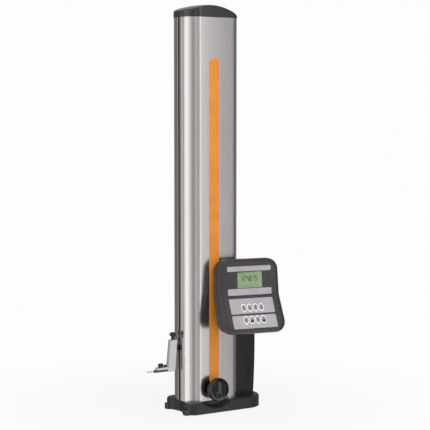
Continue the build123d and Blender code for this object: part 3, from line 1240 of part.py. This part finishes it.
def make_panel_screws():
    screws = []
    for x, z in panel_screw_places():
        seat = panel_back_y(z) - 3
        length = seat - front_y(z, PANEL_SEAM - 8)
        screw = socket_screw(length, PANEL_SCREW_RADIUS, PANEL_SCREW_HEAD, 2.4)
        screws.append(PANEL_FRAME * Pos(x, seat, z) * Rot(-90, 0, 0) * screw)
    return Compound(children=screws)


# ---- all parts -------------------------------------------------------------
def build():
    near_post, far_post = make_post_halves()
    front_shell, rear_shell = make_panel_shells()
    parts = {
        "base": make_base(),
        "base_pads": make_base_pads(),
        "column_flange": make_column_flange(),
        "column_screws": make_column_screws(),
        "guide_column": make_guide_column(),
        "glass_scale": make_scale(),
        "pulley_bracket": make_pulley_bracket(),
        "upper_axle": make_upper_axle(),
        "column_cover": make_column_cover(),
        "slot_strips": both_sides(make_front_strip()),
        "accent_stripe": make_accent_stripe(),
        "top_cap": make_top_cap(),
        "bearing_blocks": make_bearing_blocks(),
        "shaft_bushes": make_shaft_bushes(),
        "drive_belt": make_drive_belt(),
        "upper_pulley": make_upper_pulley(),
        "lower_pulley": pulley(WHEEL_Z),
        "wheel_shaft": make_wheel_shaft(),
        "handwheel": make_handwheel(),
        "lock_lever": make_lock_lever(),
        "counterweight": make_counterweight(),
        "carriage_frame": make_carriage_frame(),
        "guide_pads": make_guide_pads(),
        "reading_head": reading_head_block(),
        "belt_clamp": make_belt_clamp(),
        "neck_blade": neck_blade_shape(),
        "neck_pin": neck_pin_shape(),
        "probe_bracket": make_probe_bracket(),
        "probe_knob": make_probe_knob(),
        "probe_foot": make_probe_foot(),
        "stylus_holder": make_stylus_holder(),
        "stylus": make_stylus(),
        "stylus_knob": make_stylus_knob(),
        "foot_screw": make_foot_screw(),
        "post_shell_near": near_post,
        "post_shell_far": far_post,
        "post_screws": make_post_screws(),
        "air_button": make_air_button(),
        "button_switch": make_button_switch(),
        "battery_pack": make_battery_pack(),
        "air_pump": make_air_pump(),
        "swivel_pin": make_swivel_pin(),
        "swivel_arm": make_swivel_arm(),
        "tilt_pin": make_tilt_pin(),
        "panel_shell_front": front_shell,
        "panel_shell_rear": rear_shell,
        "panel_screws": make_panel_screws(),
        "display_window": make_display_window(),
        "display_module": make_display_module(),
        "trim_plates": make_trim_plates(),
        "key_mat": make_key_mat(),
        "circuit_board": make_circuit_board(),
    }
    for number, (x, v) in enumerate(key_places(), 1):
        parts[f"key_{number}"] = make_key(x, v)
    return parts


def main():
    os.makedirs("parts", exist_ok=True)
    for name, shape in build().items():
        export_step(shape, f"parts/{name}.step")


main()
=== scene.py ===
import math

import bmesh
import bpy
from mathutils import Matrix, Vector


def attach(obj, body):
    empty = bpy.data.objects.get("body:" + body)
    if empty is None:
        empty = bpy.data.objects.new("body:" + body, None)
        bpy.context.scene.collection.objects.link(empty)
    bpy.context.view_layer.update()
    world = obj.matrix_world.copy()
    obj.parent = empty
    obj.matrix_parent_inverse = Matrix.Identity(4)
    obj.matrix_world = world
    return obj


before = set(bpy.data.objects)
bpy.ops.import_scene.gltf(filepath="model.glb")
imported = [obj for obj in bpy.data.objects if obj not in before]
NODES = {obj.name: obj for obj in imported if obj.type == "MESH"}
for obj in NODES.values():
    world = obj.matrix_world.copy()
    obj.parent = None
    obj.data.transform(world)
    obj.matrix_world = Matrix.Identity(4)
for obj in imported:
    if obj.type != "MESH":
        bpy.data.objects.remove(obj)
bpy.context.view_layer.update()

# ---- the panel's place as in the CAD, in metres and degrees ------------------
SWIVEL_X = 0.104
PANEL_TURN = -9.0
PANEL_OFFSET = -0.0216
PANEL_REACH = 0.1114
PANEL_FOLD_Z = 0.2915
UPPER_TILT = 5.0
LOWER_TILT = 27.0
PANEL_WALL = 0.003

# ---- display: x across, v up from the panel's fold ---------------------------
MODULE_DEPTH = -PANEL_WALL * math.cos(math.radians(UPPER_TILT))
PRINT_HEIGHT = 0.00015
READING = "124.875"
DIGIT_HEIGHT = 0.0146
DIGIT_WIDTH = 0.0063
DIGIT_PITCH = 0.0078
DIGIT_STROKE = 0.0021
DIGIT_SLANT = 0.10
DIGIT_BASE_V = 0.0352
SEGMENT_GAP = 0.12        # share of the stroke
POINT_SHIFT = 0.45        # share of the stroke, right of the digit before
UNIT_MARKS_X = (-0.022, -0.0165, -0.011)
UNIT_UPPER_LENGTH = 0.0032
UNIT_UPPER_V = (0.0525, 0.0533)
UNIT_LOWER_LENGTH = 0.0022
UNIT_LOWER_V = (0.0509, 0.0517)
FIELDS_X = (-0.027, -0.0125, 0.002, 0.0165)
FIELD_LENGTH = 0.0105
FIELD_TOP_V = (0.0262, 0.0266)
FIELD_BOTTOM_V = (0.0232, 0.0236)
FIELD_WORD_X = (0.0015, 0.0078)
FIELD_WORD_V = (0.0243, 0.0254)

# ---- keys: v down from the panel's fold --------------------------------------
KEY_PROUD = 0.0018
KEY_PITCH = 0.0156
KEY_COLUMNS = 4
KEY_ROWS_V = (0.0316, 0.0629)
KEY_COUNT = KEY_COLUMNS * len(KEY_ROWS_V)
INLAY_HALF_WIDTH = 0.0054
INLAY_HALF_HEIGHT = 0.0080
INLAY_SINK = 0.0001
SHADED_KEYS = (6, 8)
SHADE_SHARE = 0.92        # of the inlay's size
SHADE_HEIGHT = 0.00006
SIGN_SINK = 0.00005
SIGN_HEIGHT = 0.0001
SIGN_HALF_WIDTH = 0.0024
SIGN_HALF_HEIGHT = 0.0030
# Shares of the sign's half size.
TWIN_BARS_GAP = 0.4
DIVIDE_BAR = 0.25
DIVIDE_DOT_GAP = 0.3
SINGLE_BAR = 0.3
OVAL_STEPS = 40

# ---- camera ------------------------------------------------------------------
CAMERA_PLACE = (-1.7555, -2.8282, 0.7381)
CAMERA_HEADING = (0.5341, 0.8454)
CAMERA_PITCH = 4.345      # degrees down
CAMERA_LENS = 112.69      # millimetres, as is the sensor's width
SENSOR_WIDTH = 36.0

# ---- world and floor ---------------------------------------------------------
BACKGROUND = (0.975, 0.98, 0.99)
SKY_STRENGTH = 0.42       # light that the world gives to dull surfaces
SEEN = ("Is Camera Ray", "Is Glossy Ray", "Is Transmission Ray")
FLOOR_RADIUS = 14.0
FLOOR_SEGMENTS = 96
PAPER = (0.86, 0.865, 0.875)
# The background's colour lies over the floor's shadows by FADE_SHARE, which grows
# over FADE_DISTANCE, in metres from the part's origin.
FADE_DISTANCE = (0.15, 0.8)
FADE_SHARE = (0.86, 1.0)

# ---- boards round the part ---------------------------------------------------
# First and last direction in degrees from +X towards +Y, and brightness. Between
# two boards the brightness runs evenly.
BOARDS = ((55, 88, 0.30), (94, 124, 0.17), (130, 150, 0.55), (155, 164, 0.34), (166, 198, 1.10),
          (210, 214, 0.66), (232, 242, 0.30), (256, 264, 0.56), (272, 284, 0.35), (288, 295, 1.35),
          (300, 318, 0.36), (324, 350, 0.15))
BRIGHTEST = 1.5
BOARD_TINT = (1.0, 0.985, 0.98)
WALL_RADIUS = 1.05
WALL_TOP = 3.2
WALL_BOTTOM = -0.6
WALL_STEPS = 180

# ---- lamps -------------------------------------------------------------------
# Name, place, target, width and height, watts, and whether reflections show it.
LAMPS = (
    ("key_lamp", (-1.1, -3.0, 0.6), (0, 0, 0.45), (1.6, 2.0), 38, False),
    ("window_lamp", (0.3, -2.4, 2.9), (0, 0, 0.3), (1.2, 1.2), 24, True),
    ("glint_lamp", (-1.5, -1.8, 2.3), (0, 0, 0.3), (0.6, 0.6), 12, True),
    ("fill_lamp", (1.6, -2.2, 0.9), (0, 0, 0.4), (1.4, 1.4), 10, False),
    ("top_lamp", (0.3, 0.6, 2.8), (0, 0, 0.5), (1.6, 1.6), 10, True),
)


# ---- what several sections use -----------------------------------------------
def mesh_of(made, name):
    """Mesh of the bmesh made, which is freed."""
    mesh = bpy.data.meshes.new(name)
    made.to_mesh(mesh)
    made.free()
    return mesh


def put(name, data):
    """New object in the scene."""
    thing = bpy.data.objects.new(name, data)
    bpy.context.scene.collection.objects.link(thing)
    return thing


def empty_tree(owner):
    """Nodes and links of a material or world, without the default nodes."""
    owner.use_nodes = True
    owner.node_tree.nodes.clear()
    return owner.node_tree.nodes, owner.node_tree.links


# ---- materials ---------------------------------------------------------------
def linear(*values):
    """Linear colour of an 8 bit sRGB colour, by the sRGB curve."""
    result = []
    for value in values:
        share = value / 255
        result.append(share / 12.92 if share <= 0.04045 else ((share + 0.055) / 1.055) ** 2.4)
    return tuple(result)


# Most of a noise texture's values lie between these two.
NOISE_LOW = 0.3
NOISE_HIGH = 0.7


class Finish:
    """A Principled material in the piece's own coordinates."""

    def __init__(self, name, colour, roughness, metallic=0.0):
        self.material = bpy.data.materials.new(name)
        self.material.use_nodes = True
        self.nodes = self.material.node_tree.nodes
        self.links = self.material.node_tree.links
        self.shader = self.nodes["Principled BSDF"]
        self.colour = colour
        self.set("Base Color", (*colour, 1.0))
        self.set("Roughness", roughness)
        self.set("Metallic", metallic)
        self.height = None

    def set(self, socket, value):
        """Gives one of the shader's sockets a constant value."""
        self.shader.inputs[socket].default_value = value
        return self

    def noise(self, scale, detail, stretch=(1, 1, 1)):
        """Noise, with each axis squeezed by stretch."""
        place = self.nodes.new("ShaderNodeTexCoord")
        mapping = self.nodes.new("ShaderNodeMapping")
        mapping.inputs["Scale"].default_value = stretch
        texture = self.nodes.new("ShaderNodeTexNoise")
        texture.inputs["Scale"].default_value = scale
        texture.inputs["Detail"].default_value = detail
        self.links.new(place.outputs["Object"], mapping.inputs["Vector"])
        self.links.new(mapping.outputs["Vector"], texture.inputs["Vector"])
        return texture.outputs["Fac"]

    def vary_colour(self, factor, low, high):
        """The colour runs from low to high times its own value."""
        ramp = self.nodes.new("ShaderNodeValToRGB")
        for element, share in zip(ramp.color_ramp.elements, (low, high)):
            element.color = (*[min(1.0, c * share) for c in self.colour], 1.0)
        ramp.color_ramp.elements[0].position = NOISE_LOW
        ramp.color_ramp.elements[1].position = NOISE_HIGH
        self.links.new(factor, ramp.inputs["Fac"])
        self.links.new(ramp.outputs["Color"], self.shader.inputs["Base Color"])

    def vary_roughness(self, factor, low, high):
        """The roughness runs from low to high."""
        spread = self.nodes.new("ShaderNodeMapRange")
        spread.inputs["From Min"].default_value = NOISE_LOW
        spread.inputs["From Max"].default_value = NOISE_HIGH
        spread.inputs["To Min"].default_value = low
        spread.inputs["To Max"].default_value = high
        self.links.new(factor, spread.inputs["Value"])
        self.links.new(spread.outputs["Result"], self.shader.inputs["Roughness"])

    def bump(self, factor, strength, distance):
        """Adds a layer of relief, with its distance in metres."""
        relief = self.nodes.new("ShaderNodeBump")
        relief.inputs["Strength"].default_value = strength
        relief.inputs["Distance"].default_value = distance
        self.links.new(factor, relief.inputs["Height"])
        if self.height is not None:
            self.links.new(self.height, relief.inputs["Normal"])
        self.height = relief.outputs["Normal"]
        self.links.new(self.height, self.shader.inputs["Normal"])


def moulded(name, colour, roughness, grain=2600, relief=0.00008):
    """Plastic with a fine spark-eroded grain and slight handling marks."""
    finish = Finish(name, colour, roughness)
    finish.vary_colour(finish.noise(scale=28, detail=4), low=0.92, high=1.08)
    finish.vary_roughness(finish.noise(scale=60, detail=5), low=roughness - 0.06, high=roughness + 0.06)
    finish.bump(finish.noise(scale=grain, detail=2), strength=0.35, distance=relief)
    return finish


def enamel(name, colour, roughness):
    """Stoved paint over a casting: orange peel over the casting's waves."""
    finish = Finish(name, colour, roughness)
    finish.vary_colour(finish.noise(scale=18, detail=5), low=0.88, high=1.12)
    finish.vary_roughness(finish.noise(scale=45, detail=4), low=roughness - 0.07, high=roughness + 0.08)
    finish.bump(finish.noise(scale=90, detail=3), strength=0.25, distance=0.0006)
    finish.bump(finish.noise(scale=900, detail=2), strength=0.35, distance=0.00012)
    return finish


def brushed(name, colour, roughness, stretch, relief=0.00002):
    """Metal with its grain along the axis that stretch leaves long."""
    finish = Finish(name, colour, roughness, metallic=1.0)
    fine = finish.noise(scale=1500, detail=4, stretch=stretch)
    finish.vary_colour(fine, low=0.96, high=1.04)
    broad = finish.noise(scale=420, detail=4, stretch=stretch)
    finish.vary_roughness(broad, low=roughness - 0.03, high=roughness + 0.04)
    finish.bump(fine, strength=0.2, distance=relief)
    return finish


def machined(name, colour, roughness):
    """Metal with a fine even grain."""
    finish = Finish(name, colour, roughness, metallic=1.0)
    finish.vary_colour(finish.noise(scale=40, detail=4), low=0.95, high=1.05)
    finish.vary_roughness(finish.noise(scale=700, detail=3), low=roughness - 0.05, high=roughness + 0.06)
    finish.bump(finish.noise(scale=1800, detail=2), strength=0.15, distance=0.00003)
    return finish


def glossy(name, colour, roughness, coat=0.4):
    """Polished plastic with faint swirls and dust-dulled patches."""
    finish = Finish(name, colour, roughness)
    finish.vary_colour(finish.noise(scale=35, detail=3), low=0.9, high=1.1)
    finish.vary_roughness(finish.noise(scale=70, detail=6), low=roughness - 0.03, high=roughness + 0.06)
    finish.bump(finish.noise(scale=120, detail=2), strength=0.06, distance=0.0002)
    finish.set("Coat Weight", coat).set("Coat Roughness", 0.08)
    return finish


def glass(name, colour):
    """Clear pane with faint smears."""
    finish = Finish(name, colour, roughness=0.06)
    finish.vary_roughness(finish.noise(scale=90, detail=5), low=0.03, high=0.09)
    finish.set("Transmission Weight", 1.0).set("IOR", 1.45)
    return finish


ALONG_Z = (1, 1, 0.012)
# The finish of each slot: its material's name, colour and roughness, and for some its grain.
FINISHES = {
    "base_iron": enamel("base_enamel", linear(38, 37, 39), 0.32),
    "ground_steel": brushed("ground_steel", (0.62, 0.61, 0.60), 0.28, ALONG_Z),
    "dark_steel": machined("dark_steel", (0.10, 0.10, 0.105), 0.38),
    "screw_black": machined("screw_black", (0.07, 0.07, 0.07), 0.38),
    "clear_glass": glass("scale_glass", (0.80, 0.88, 0.88)),
    "bare_aluminium": machined("bare_aluminium", (0.74, 0.74, 0.75), 0.34),
    "cover_steel": brushed("cover_steel", (0.80, 0.77, 0.765), 0.20, ALONG_Z),
    "strip_grey": brushed("strip_grey", (0.46, 0.43, 0.42), 0.26, ALONG_Z),
    "stripe_orange": moulded("stripe_orange", linear(214, 131, 38), 0.54, 1500, 0.00002),
    "cap_charcoal": glossy("cap_charcoal", linear(30, 30, 34), 0.24, 1.0),
    "bush_bronze": machined("bush_bronze", (0.60, 0.40, 0.19), 0.38),
    "belt_steel": brushed("belt_steel", (0.56, 0.56, 0.56), 0.24, ALONG_Z),
    "post_black": moulded("post_black", linear(26, 24, 25), 0.34),
    "switch_plastic": moulded("switch_plastic", (0.06, 0.06, 0.07), 0.45),
    "battery_wrap": glossy("battery_wrap", (0.05, 0.12, 0.30), 0.30),
    "pad_polymer": moulded("pad_polymer", (0.30, 0.20, 0.10), 0.50),
    "bracket_silver": machined("bracket_silver", (0.78, 0.755, 0.78), 0.36),
    "knob_black": moulded("knob_black", linear(34, 32, 32), 0.34),
    "wheel_black": glossy("wheel_black", linear(10, 9, 9), 0.05),
    "weight_steel": machined("weight_steel", (0.32, 0.32, 0.33), 0.36),
    "lever_steel": machined("lever_steel", (0.66, 0.62, 0.55), 0.26),
    "button_black": glossy("button_black", linear(22, 21, 21), 0.22),
    "panel_charcoal": moulded("panel_charcoal", linear(52, 50, 51), 0.31),
    "display_glass": glass("display_glass", (0.93, 0.96, 0.93)),
    "display_green": moulded("display_green", linear(142, 168, 116), 0.40, 1200, 0.00001),
    "trim_grey": moulded("trim_grey", linear(168, 161, 167), 0.42, 1800, 0.00003),
    "mat_rubber": moulded("mat_rubber", (0.12, 0.12, 0.13), 0.70),
    "board_green": moulded("board_green", (0.02, 0.15, 0.07), 0.40),
    "key_white": moulded("key_white", linear(240, 239, 241), 0.38),
}
INK = moulded("display_ink", linear(8, 11, 8), 0.60)
FAINT_INK = moulded("display_faint_ink", linear(112, 136, 96), 0.50)
INLAY = moulded("key_inlay", linear(138, 134, 137), 0.45)
GLYPH = moulded("key_glyph", linear(104, 100, 102), 0.45)
DARK_GLYPH = moulded("key_dark_glyph", linear(34, 33, 34), 0.45)


def dress_nodes():
    """Gives each CAD node the finish of its slot."""
    for node in NODES.values():
        for holder in node.material_slots:
            holder.material = FINISHES[holder.material.name.split(".")[0]].material


# ---- thin pieces on the panel ------------------------------------------------
def facet(upper):
    """Local x across, y away from the fold and z outward, on a front facet."""
    tilt = math.radians(UPPER_TILT if upper else LOWER_TILT)
    outward = Vector((0, -math.cos(tilt), math.sin(tilt)))
    across = Vector((1 if upper else -1, 0, 0))
    local = Matrix((across, outward.cross(across), outward)).transposed().to_4x4()
    local.translation = Vector((PANEL_OFFSET, -PANEL_REACH, PANEL_FOLD_Z))
    turn = Matrix.Rotation(math.radians(PANEL_TURN), 4, "Z")
    return Matrix.Translation((SWIVEL_X, 0, 0)) @ turn @ local


def prisms(name, outlines, low, high, place, finish, body):
    """One piece made of upright prisms on the outlines."""
    made = bmesh.new()
    for outline in outlines:
        bottom = [made.verts.new((x, y, low)) for x, y in outline]
        top = [made.verts.new((x, y, high)) for x, y in outline]
        made.faces.new(top)
        made.faces.new(bottom[::-1])
        for i in range(len(outline)):
            j = (i + 1) % len(outline)
            made.faces.new((bottom[i], bottom[j], top[j], top[i]))
    bmesh.ops.recalc_face_normals(made, faces=made.faces)
    bmesh.ops.transform(made, matrix=place, verts=made.verts)
    mesh = mesh_of(made, name)
    mesh.materials.append(finish.material)
    piece = put(name, mesh)
    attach(piece, body)


def oval(x, y, half_width, half_height, start=0.0, end=360.0):
    """Points of an oval, or of the part of it between two angles."""
    whole = end - start >= 360.0
    count = OVAL_STEPS if whole else OVAL_STEPS + 1
    angles = [math.radians(start + (end - start) * i / OVAL_STEPS) for i in range(count)]
    return [(x + half_width * math.cos(angle), y + half_height * math.sin(angle)) for angle in angles]


def bar(x0, y0, x1, y1):
    """Corners of an upright rectangle."""
    return [(x0, y0), (x1, y0), (x1, y1), (x0, y1)]


SEGMENTS = {
    "0": "abcdef", "1": "bc", "2": "abged", "3": "abgcd", "4": "fgbc",
    "5": "afgcd", "6": "afgedc", "7": "abc", "8": "abcdefg", "9": "abfgcd",
}


def segment(letter, width, height, stroke):
    """Pointed bar of a seven-segment digit with its corner at 0, 0."""
    half, gap = stroke / 2, stroke * SEGMENT_GAP
    middle = height / 2
    flat = {"a": height - half, "g": middle, "d": half}
    if letter in flat:
        y = flat[letter]
        x0, x1 = half + gap, width - half - gap
        return [(x0, y), (x0 + half, y + half), (x1 - half, y + half), (x1, y),
                (x1 - half, y - half), (x0 + half, y - half)]
    x = half if letter in "fe" else width - half
    y0, y1 = (middle + gap, height - half - gap) if letter in "fb" else (half + gap, middle - gap)
    return [(x, y0), (x + half, y0 + half), (x + half, y1 - half), (x, y1),
            (x - half, y1 - half), (x - half, y0 + half)]


def slanted(points, x, y):
    """The points leaned over and moved to x, y."""
    return [(x + px + py * DIGIT_SLANT, y + py) for px, py in points]


def reading_outlines():
    """Dark segments of the reading, centred on the display."""
    count = len(READING.replace(".", ""))
    cursor = -count * DIGIT_PITCH / 2
    shapes = []
    for sign in READING:
        if sign == ".":
            dot_x = cursor - DIGIT_PITCH + DIGIT_WIDTH + DIGIT_STROKE * POINT_SHIFT
            shapes.append(slanted(bar(0, 0, DIGIT_STROKE, DIGIT_STROKE), dot_x, DIGIT_BASE_V))
            continue
        for letter in SEGMENTS[sign]:
            points = segment(letter, DIGIT_WIDTH, DIGIT_HEIGHT, DIGIT_STROKE)
            shapes.append(slanted(points, cursor, DIGIT_BASE_V))
        cursor += DIGIT_PITCH
    return shapes


def mark(x, length, v):
    """Bar that starts at x, between the pair v."""
    return bar(x, v[0], x + length, v[1])


def small_marks():
    """Unit marks over the reading and four soft-key fields under it."""
    shapes = [mark(x, UNIT_UPPER_LENGTH, UNIT_UPPER_V) for x in UNIT_MARKS_X]
    shapes += [mark(x, UNIT_LOWER_LENGTH, UNIT_LOWER_V) for x in UNIT_MARKS_X]
    word_start, word_end = FIELD_WORD_X
    for x in FIELDS_X:
        shapes.append(mark(x, FIELD_LENGTH, FIELD_TOP_V))
        shapes.append(mark(x, FIELD_LENGTH, FIELD_BOTTOM_V))
        shapes.append(bar(x + word_start, FIELD_WORD_V[0], x + word_end, FIELD_WORD_V[1]))
    return shapes


def print_display():
    """Reading and small marks on the display's green module."""
    upper = facet(True)
    top = MODULE_DEPTH + PRINT_HEIGHT
    prisms("display_reading", reading_outlines(), MODULE_DEPTH, top, upper, INK, "panel")
    prisms("display_marks", small_marks(), MODULE_DEPTH, top, upper, FAINT_INK, "panel")


def glyph(number, x, y):
    """Outlines of a key's plain sign, centred at x, y."""
    wide, tall = SIGN_HALF_WIDTH, SIGN_HALF_HEIGHT
    gap, thick = tall * TWIN_BARS_GAP, tall * SINGLE_BAR
    dot, slim, dot_gap = wide * DIVIDE_BAR, tall * DIVIDE_BAR, tall * DIVIDE_DOT_GAP
    disc = [oval(x, y, wide, tall)]
    signs = {
        1: disc,
        2: [[(x - wide, y + tall), (x + wide, y + tall), (x, y - tall)]],
        3: [bar(x - wide, y - tall, x + wide, y - gap), bar(x - wide, y + gap, x + wide, y + tall)],
        4: [bar(x - wide, y - slim, x + wide, y + slim),
            bar(x - dot, y - tall, x + dot, y - dot_gap),
            bar(x - dot, y + dot_gap, x + dot, y + tall)],
        5: disc,
        6: [[(x - wide, y - tall), (x + wide, y - tall), (x, y + tall)]],
        7: [bar(x - wide, y - thick, x + wide, y + thick)],
        8: [[(x - wide, y), (x, y - tall), (x + wide, y), (x, y + tall)]],
    }
    return signs[number]


def print_key(number):
    """Grey inlay, dark half where the key has one, and sign of a key."""
    lower = facet(False)
    row, column = divmod(number - 1, KEY_COLUMNS)
    x, y = ((KEY_COLUMNS - 1) / 2 - column) * KEY_PITCH, KEY_ROWS_V[row]
    body = f"key_{number}"
    top = KEY_PROUD + PRINT_HEIGHT
    inlay = oval(x, y, INLAY_HALF_WIDTH, INLAY_HALF_HEIGHT)
    prisms(f"key_inlay_{number}", [inlay], KEY_PROUD - INLAY_SINK, top, lower, INLAY, body)
    shaded = number in SHADED_KEYS
    if shaded:
        half = oval(x, y, INLAY_HALF_WIDTH * SHADE_SHARE, INLAY_HALF_HEIGHT * SHADE_SHARE, 0.0, 180.0)
        prisms(f"key_shade_{number}", [half], top - SIGN_SINK, top + SHADE_HEIGHT, lower, DARK_GLYPH,
               body)
    prisms(f"key_sign_{number}", glyph(number, x, y), top - SIGN_SINK, top + SIGN_HEIGHT, lower,
           INLAY if shaded else GLYPH, body)


# ---- floor, surroundings and lamps -------------------------------------------
def light_path(nodes, links, kinds):
    """1 for rays of any of these kinds."""
    path = nodes.new("ShaderNodeLightPath")
    total = path.outputs[kinds[0]]
    for kind in kinds[1:]:
        add = nodes.new("ShaderNodeMath")
        add.operation = "MAXIMUM"
        links.new(total, add.inputs[0])
        links.new(path.outputs[kind], add.inputs[1])
        total = add.outputs[0]
    return total


def make_world():
    """Soft white light, with the background's colour where the world is seen."""
    world = bpy.data.worlds.new("studio")
    bpy.context.scene.world = world
    nodes, links = empty_tree(world)
    out = nodes.new("ShaderNodeOutputWorld")
    mix = nodes.new("ShaderNodeMixShader")
    soft = nodes.new("ShaderNodeBackground")
    soft.inputs["Color"].default_value = (1, 1, 1, 1)
    soft.inputs["Strength"].default_value = SKY_STRENGTH
    seen = nodes.new("ShaderNodeBackground")
    seen.inputs["Color"].default_value = (*BACKGROUND, 1)
    seen.inputs["Strength"].default_value = 1.0
    links.new(light_path(nodes, links, SEEN), mix.inputs["Fac"])
    links.new(soft.outputs[0], mix.inputs[1])
    links.new(seen.outputs[0], mix.inputs[2])
    links.new(mix.outputs[0], out.inputs["Surface"])


def make_floor():
    """A pale disc that takes the shadow near the part and fades out."""
    made = bmesh.new()
    bmesh.ops.create_circle(made, cap_ends=True, radius=FLOOR_RADIUS, segments=FLOOR_SEGMENTS)
    mesh = mesh_of(made, "floor")
    floor = put("floor", mesh)
    material = bpy.data.materials.new("floor")
    nodes, links = empty_tree(material)
    out = nodes.new("ShaderNodeOutputMaterial")
    paper = nodes.new("ShaderNodeBsdfDiffuse")
    paper.inputs["Color"].default_value = (*PAPER, 1)
    glow = nodes.new("ShaderNodeEmission")
    glow.inputs["Color"].default_value = (*BACKGROUND, 1)
    place = nodes.new("ShaderNodeTexCoord")
    distance = nodes.new("ShaderNodeVectorMath")
    distance.operation = "LENGTH"
    fade = nodes.new("ShaderNodeMapRange")
    fade.interpolation_type = "SMOOTHSTEP"
    fade.inputs["From Min"].default_value, fade.inputs["From Max"].default_value = FADE_DISTANCE
    fade.inputs["To Min"].default_value, fade.inputs["To Max"].default_value = FADE_SHARE
    share = nodes.new("ShaderNodeMath")
    share.operation = "MULTIPLY"
    mix = nodes.new("ShaderNodeMixShader")
    links.new(place.outputs["Object"], distance.inputs[0])
    links.new(distance.outputs["Value"], fade.inputs["Value"])
    links.new(light_path(nodes, links, SEEN), share.inputs[0])
    links.new(fade.outputs["Result"], share.inputs[1])
    links.new(share.outputs[0], mix.inputs["Fac"])
    links.new(paper.outputs[0], mix.inputs[1])
    links.new(glow.outputs[0], mix.inputs[2])
    links.new(mix.outputs[0], out.inputs["Surface"])
    mesh.materials.append(material)
    floor.visible_glossy = False


def wall_mesh():
    """Open cylinder round the part."""
    made = bmesh.new()
    rings = []
    for z in (WALL_BOTTOM, WALL_TOP):
        ring = []
        for i in range(WALL_STEPS):
            angle = 2 * math.pi * i / WALL_STEPS
            x, y = WALL_RADIUS * math.cos(angle), WALL_RADIUS * math.sin(angle)
            ring.append(made.verts.new((x, y, z)))
        rings.append(ring)
    for i in range(WALL_STEPS):
        j = (i + 1) % WALL_STEPS
        made.faces.new((rings[0][i], rings[0][j], rings[1][j], rings[1][i]))
    return mesh_of(made, "boards")


def fill_ramp(ramp):
    """Brightness of the boards by direction, as a share of the brightest."""
    # The angle starts at -180 degrees, so the stops are turned to begin there.
    stops = sorted(((degrees + 180) % 360 / 360, level)
                   for start, end, level in BOARDS for degrees in (start, end))
    elements = ramp.color_ramp.elements
    elements[0].position = stops[0][0]
    elements[1].position = stops[-1][0]
    for position, _ in stops[1:-1]:
        elements.new(position)
    for element, (_, level) in zip(elements, stops):
        share = level / BRIGHTEST
        element.color = (*[share * tint for tint in BOARD_TINT], 1)


def make_wall():
    """Bright and dark boards round the part, seen only by reflections."""
    mesh = wall_mesh()
    wall = put("boards", mesh)
    material = bpy.data.materials.new("boards")
    nodes, links = empty_tree(material)
    out = nodes.new("ShaderNodeOutputMaterial")
    glow = nodes.new("ShaderNodeEmission")
    place = nodes.new("ShaderNodeTexCoord")
    split = nodes.new("ShaderNodeSeparateXYZ")
    angle = nodes.new("ShaderNodeMath")
    angle.operation = "ARCTAN2"
    turn = nodes.new("ShaderNodeMapRange")
    turn.inputs["From Min"].default_value = -math.pi
    turn.inputs["From Max"].default_value = math.pi
    ramp = nodes.new("ShaderNodeValToRGB")
    fill_ramp(ramp)
    glow.inputs["Strength"].default_value = BRIGHTEST
    links.new(place.outputs["Object"], split.inputs[0])
    links.new(split.outputs["Y"], angle.inputs[0])
    links.new(split.outputs["X"], angle.inputs[1])
    links.new(angle.outputs[0], turn.inputs["Value"])
    links.new(turn.outputs["Result"], ramp.inputs["Fac"])
    links.new(ramp.outputs["Color"], glow.inputs["Color"])
    links.new(glow.outputs[0], out.inputs["Surface"])
    mesh.materials.append(material)
    wall.visible_camera = False
    wall.visible_diffuse = False
    wall.visible_shadow = False
    wall.visible_transmission = False


def make_lamp(name, place, target, size, power, mirrored):
    """Rectangular lamp, which reflections show if it is mirrored."""
    light = bpy.data.lights.new(name, "AREA")
    light.shape = "RECTANGLE"
    light.size, light.size_y = size
    light.energy = power
    lamp = put(name, light)
    lamp.location = place
    lamp.rotation_mode = "QUATERNION"
    lamp.rotation_quaternion = (Vector(target) - Vector(place)).to_track_quat("-Z", "Y")
    lamp.visible_glossy = mirrored


def make_camera():
    """The scene's camera, level apart from its pitch."""
    camera = put("camera", bpy.data.cameras.new("camera"))
    pitch = math.radians(CAMERA_PITCH)
    ahead = Vector((CAMERA_HEADING[0], CAMERA_HEADING[1], 0)).normalized() * math.cos(pitch)
    ahead.z = -math.sin(pitch)
    camera.location = CAMERA_PLACE
    camera.rotation_mode = "QUATERNION"
    camera.rotation_quaternion = ahead.to_track_quat("-Z", "Y")
    camera.data.lens = CAMERA_LENS
    camera.data.sensor_width = SENSOR_WIDTH
    bpy.context.scene.camera = camera


# ---- the scene ---------------------------------------------------------------
dress_nodes()
print_display()
for number in range(1, KEY_COUNT + 1):
    print_key(number)
make_world()
make_floor()
make_wall()
for lamp_values in LAMPS:
    make_lamp(*lamp_values)
make_camera()
bpy.context.scene.view_settings.view_transform = "Standard"
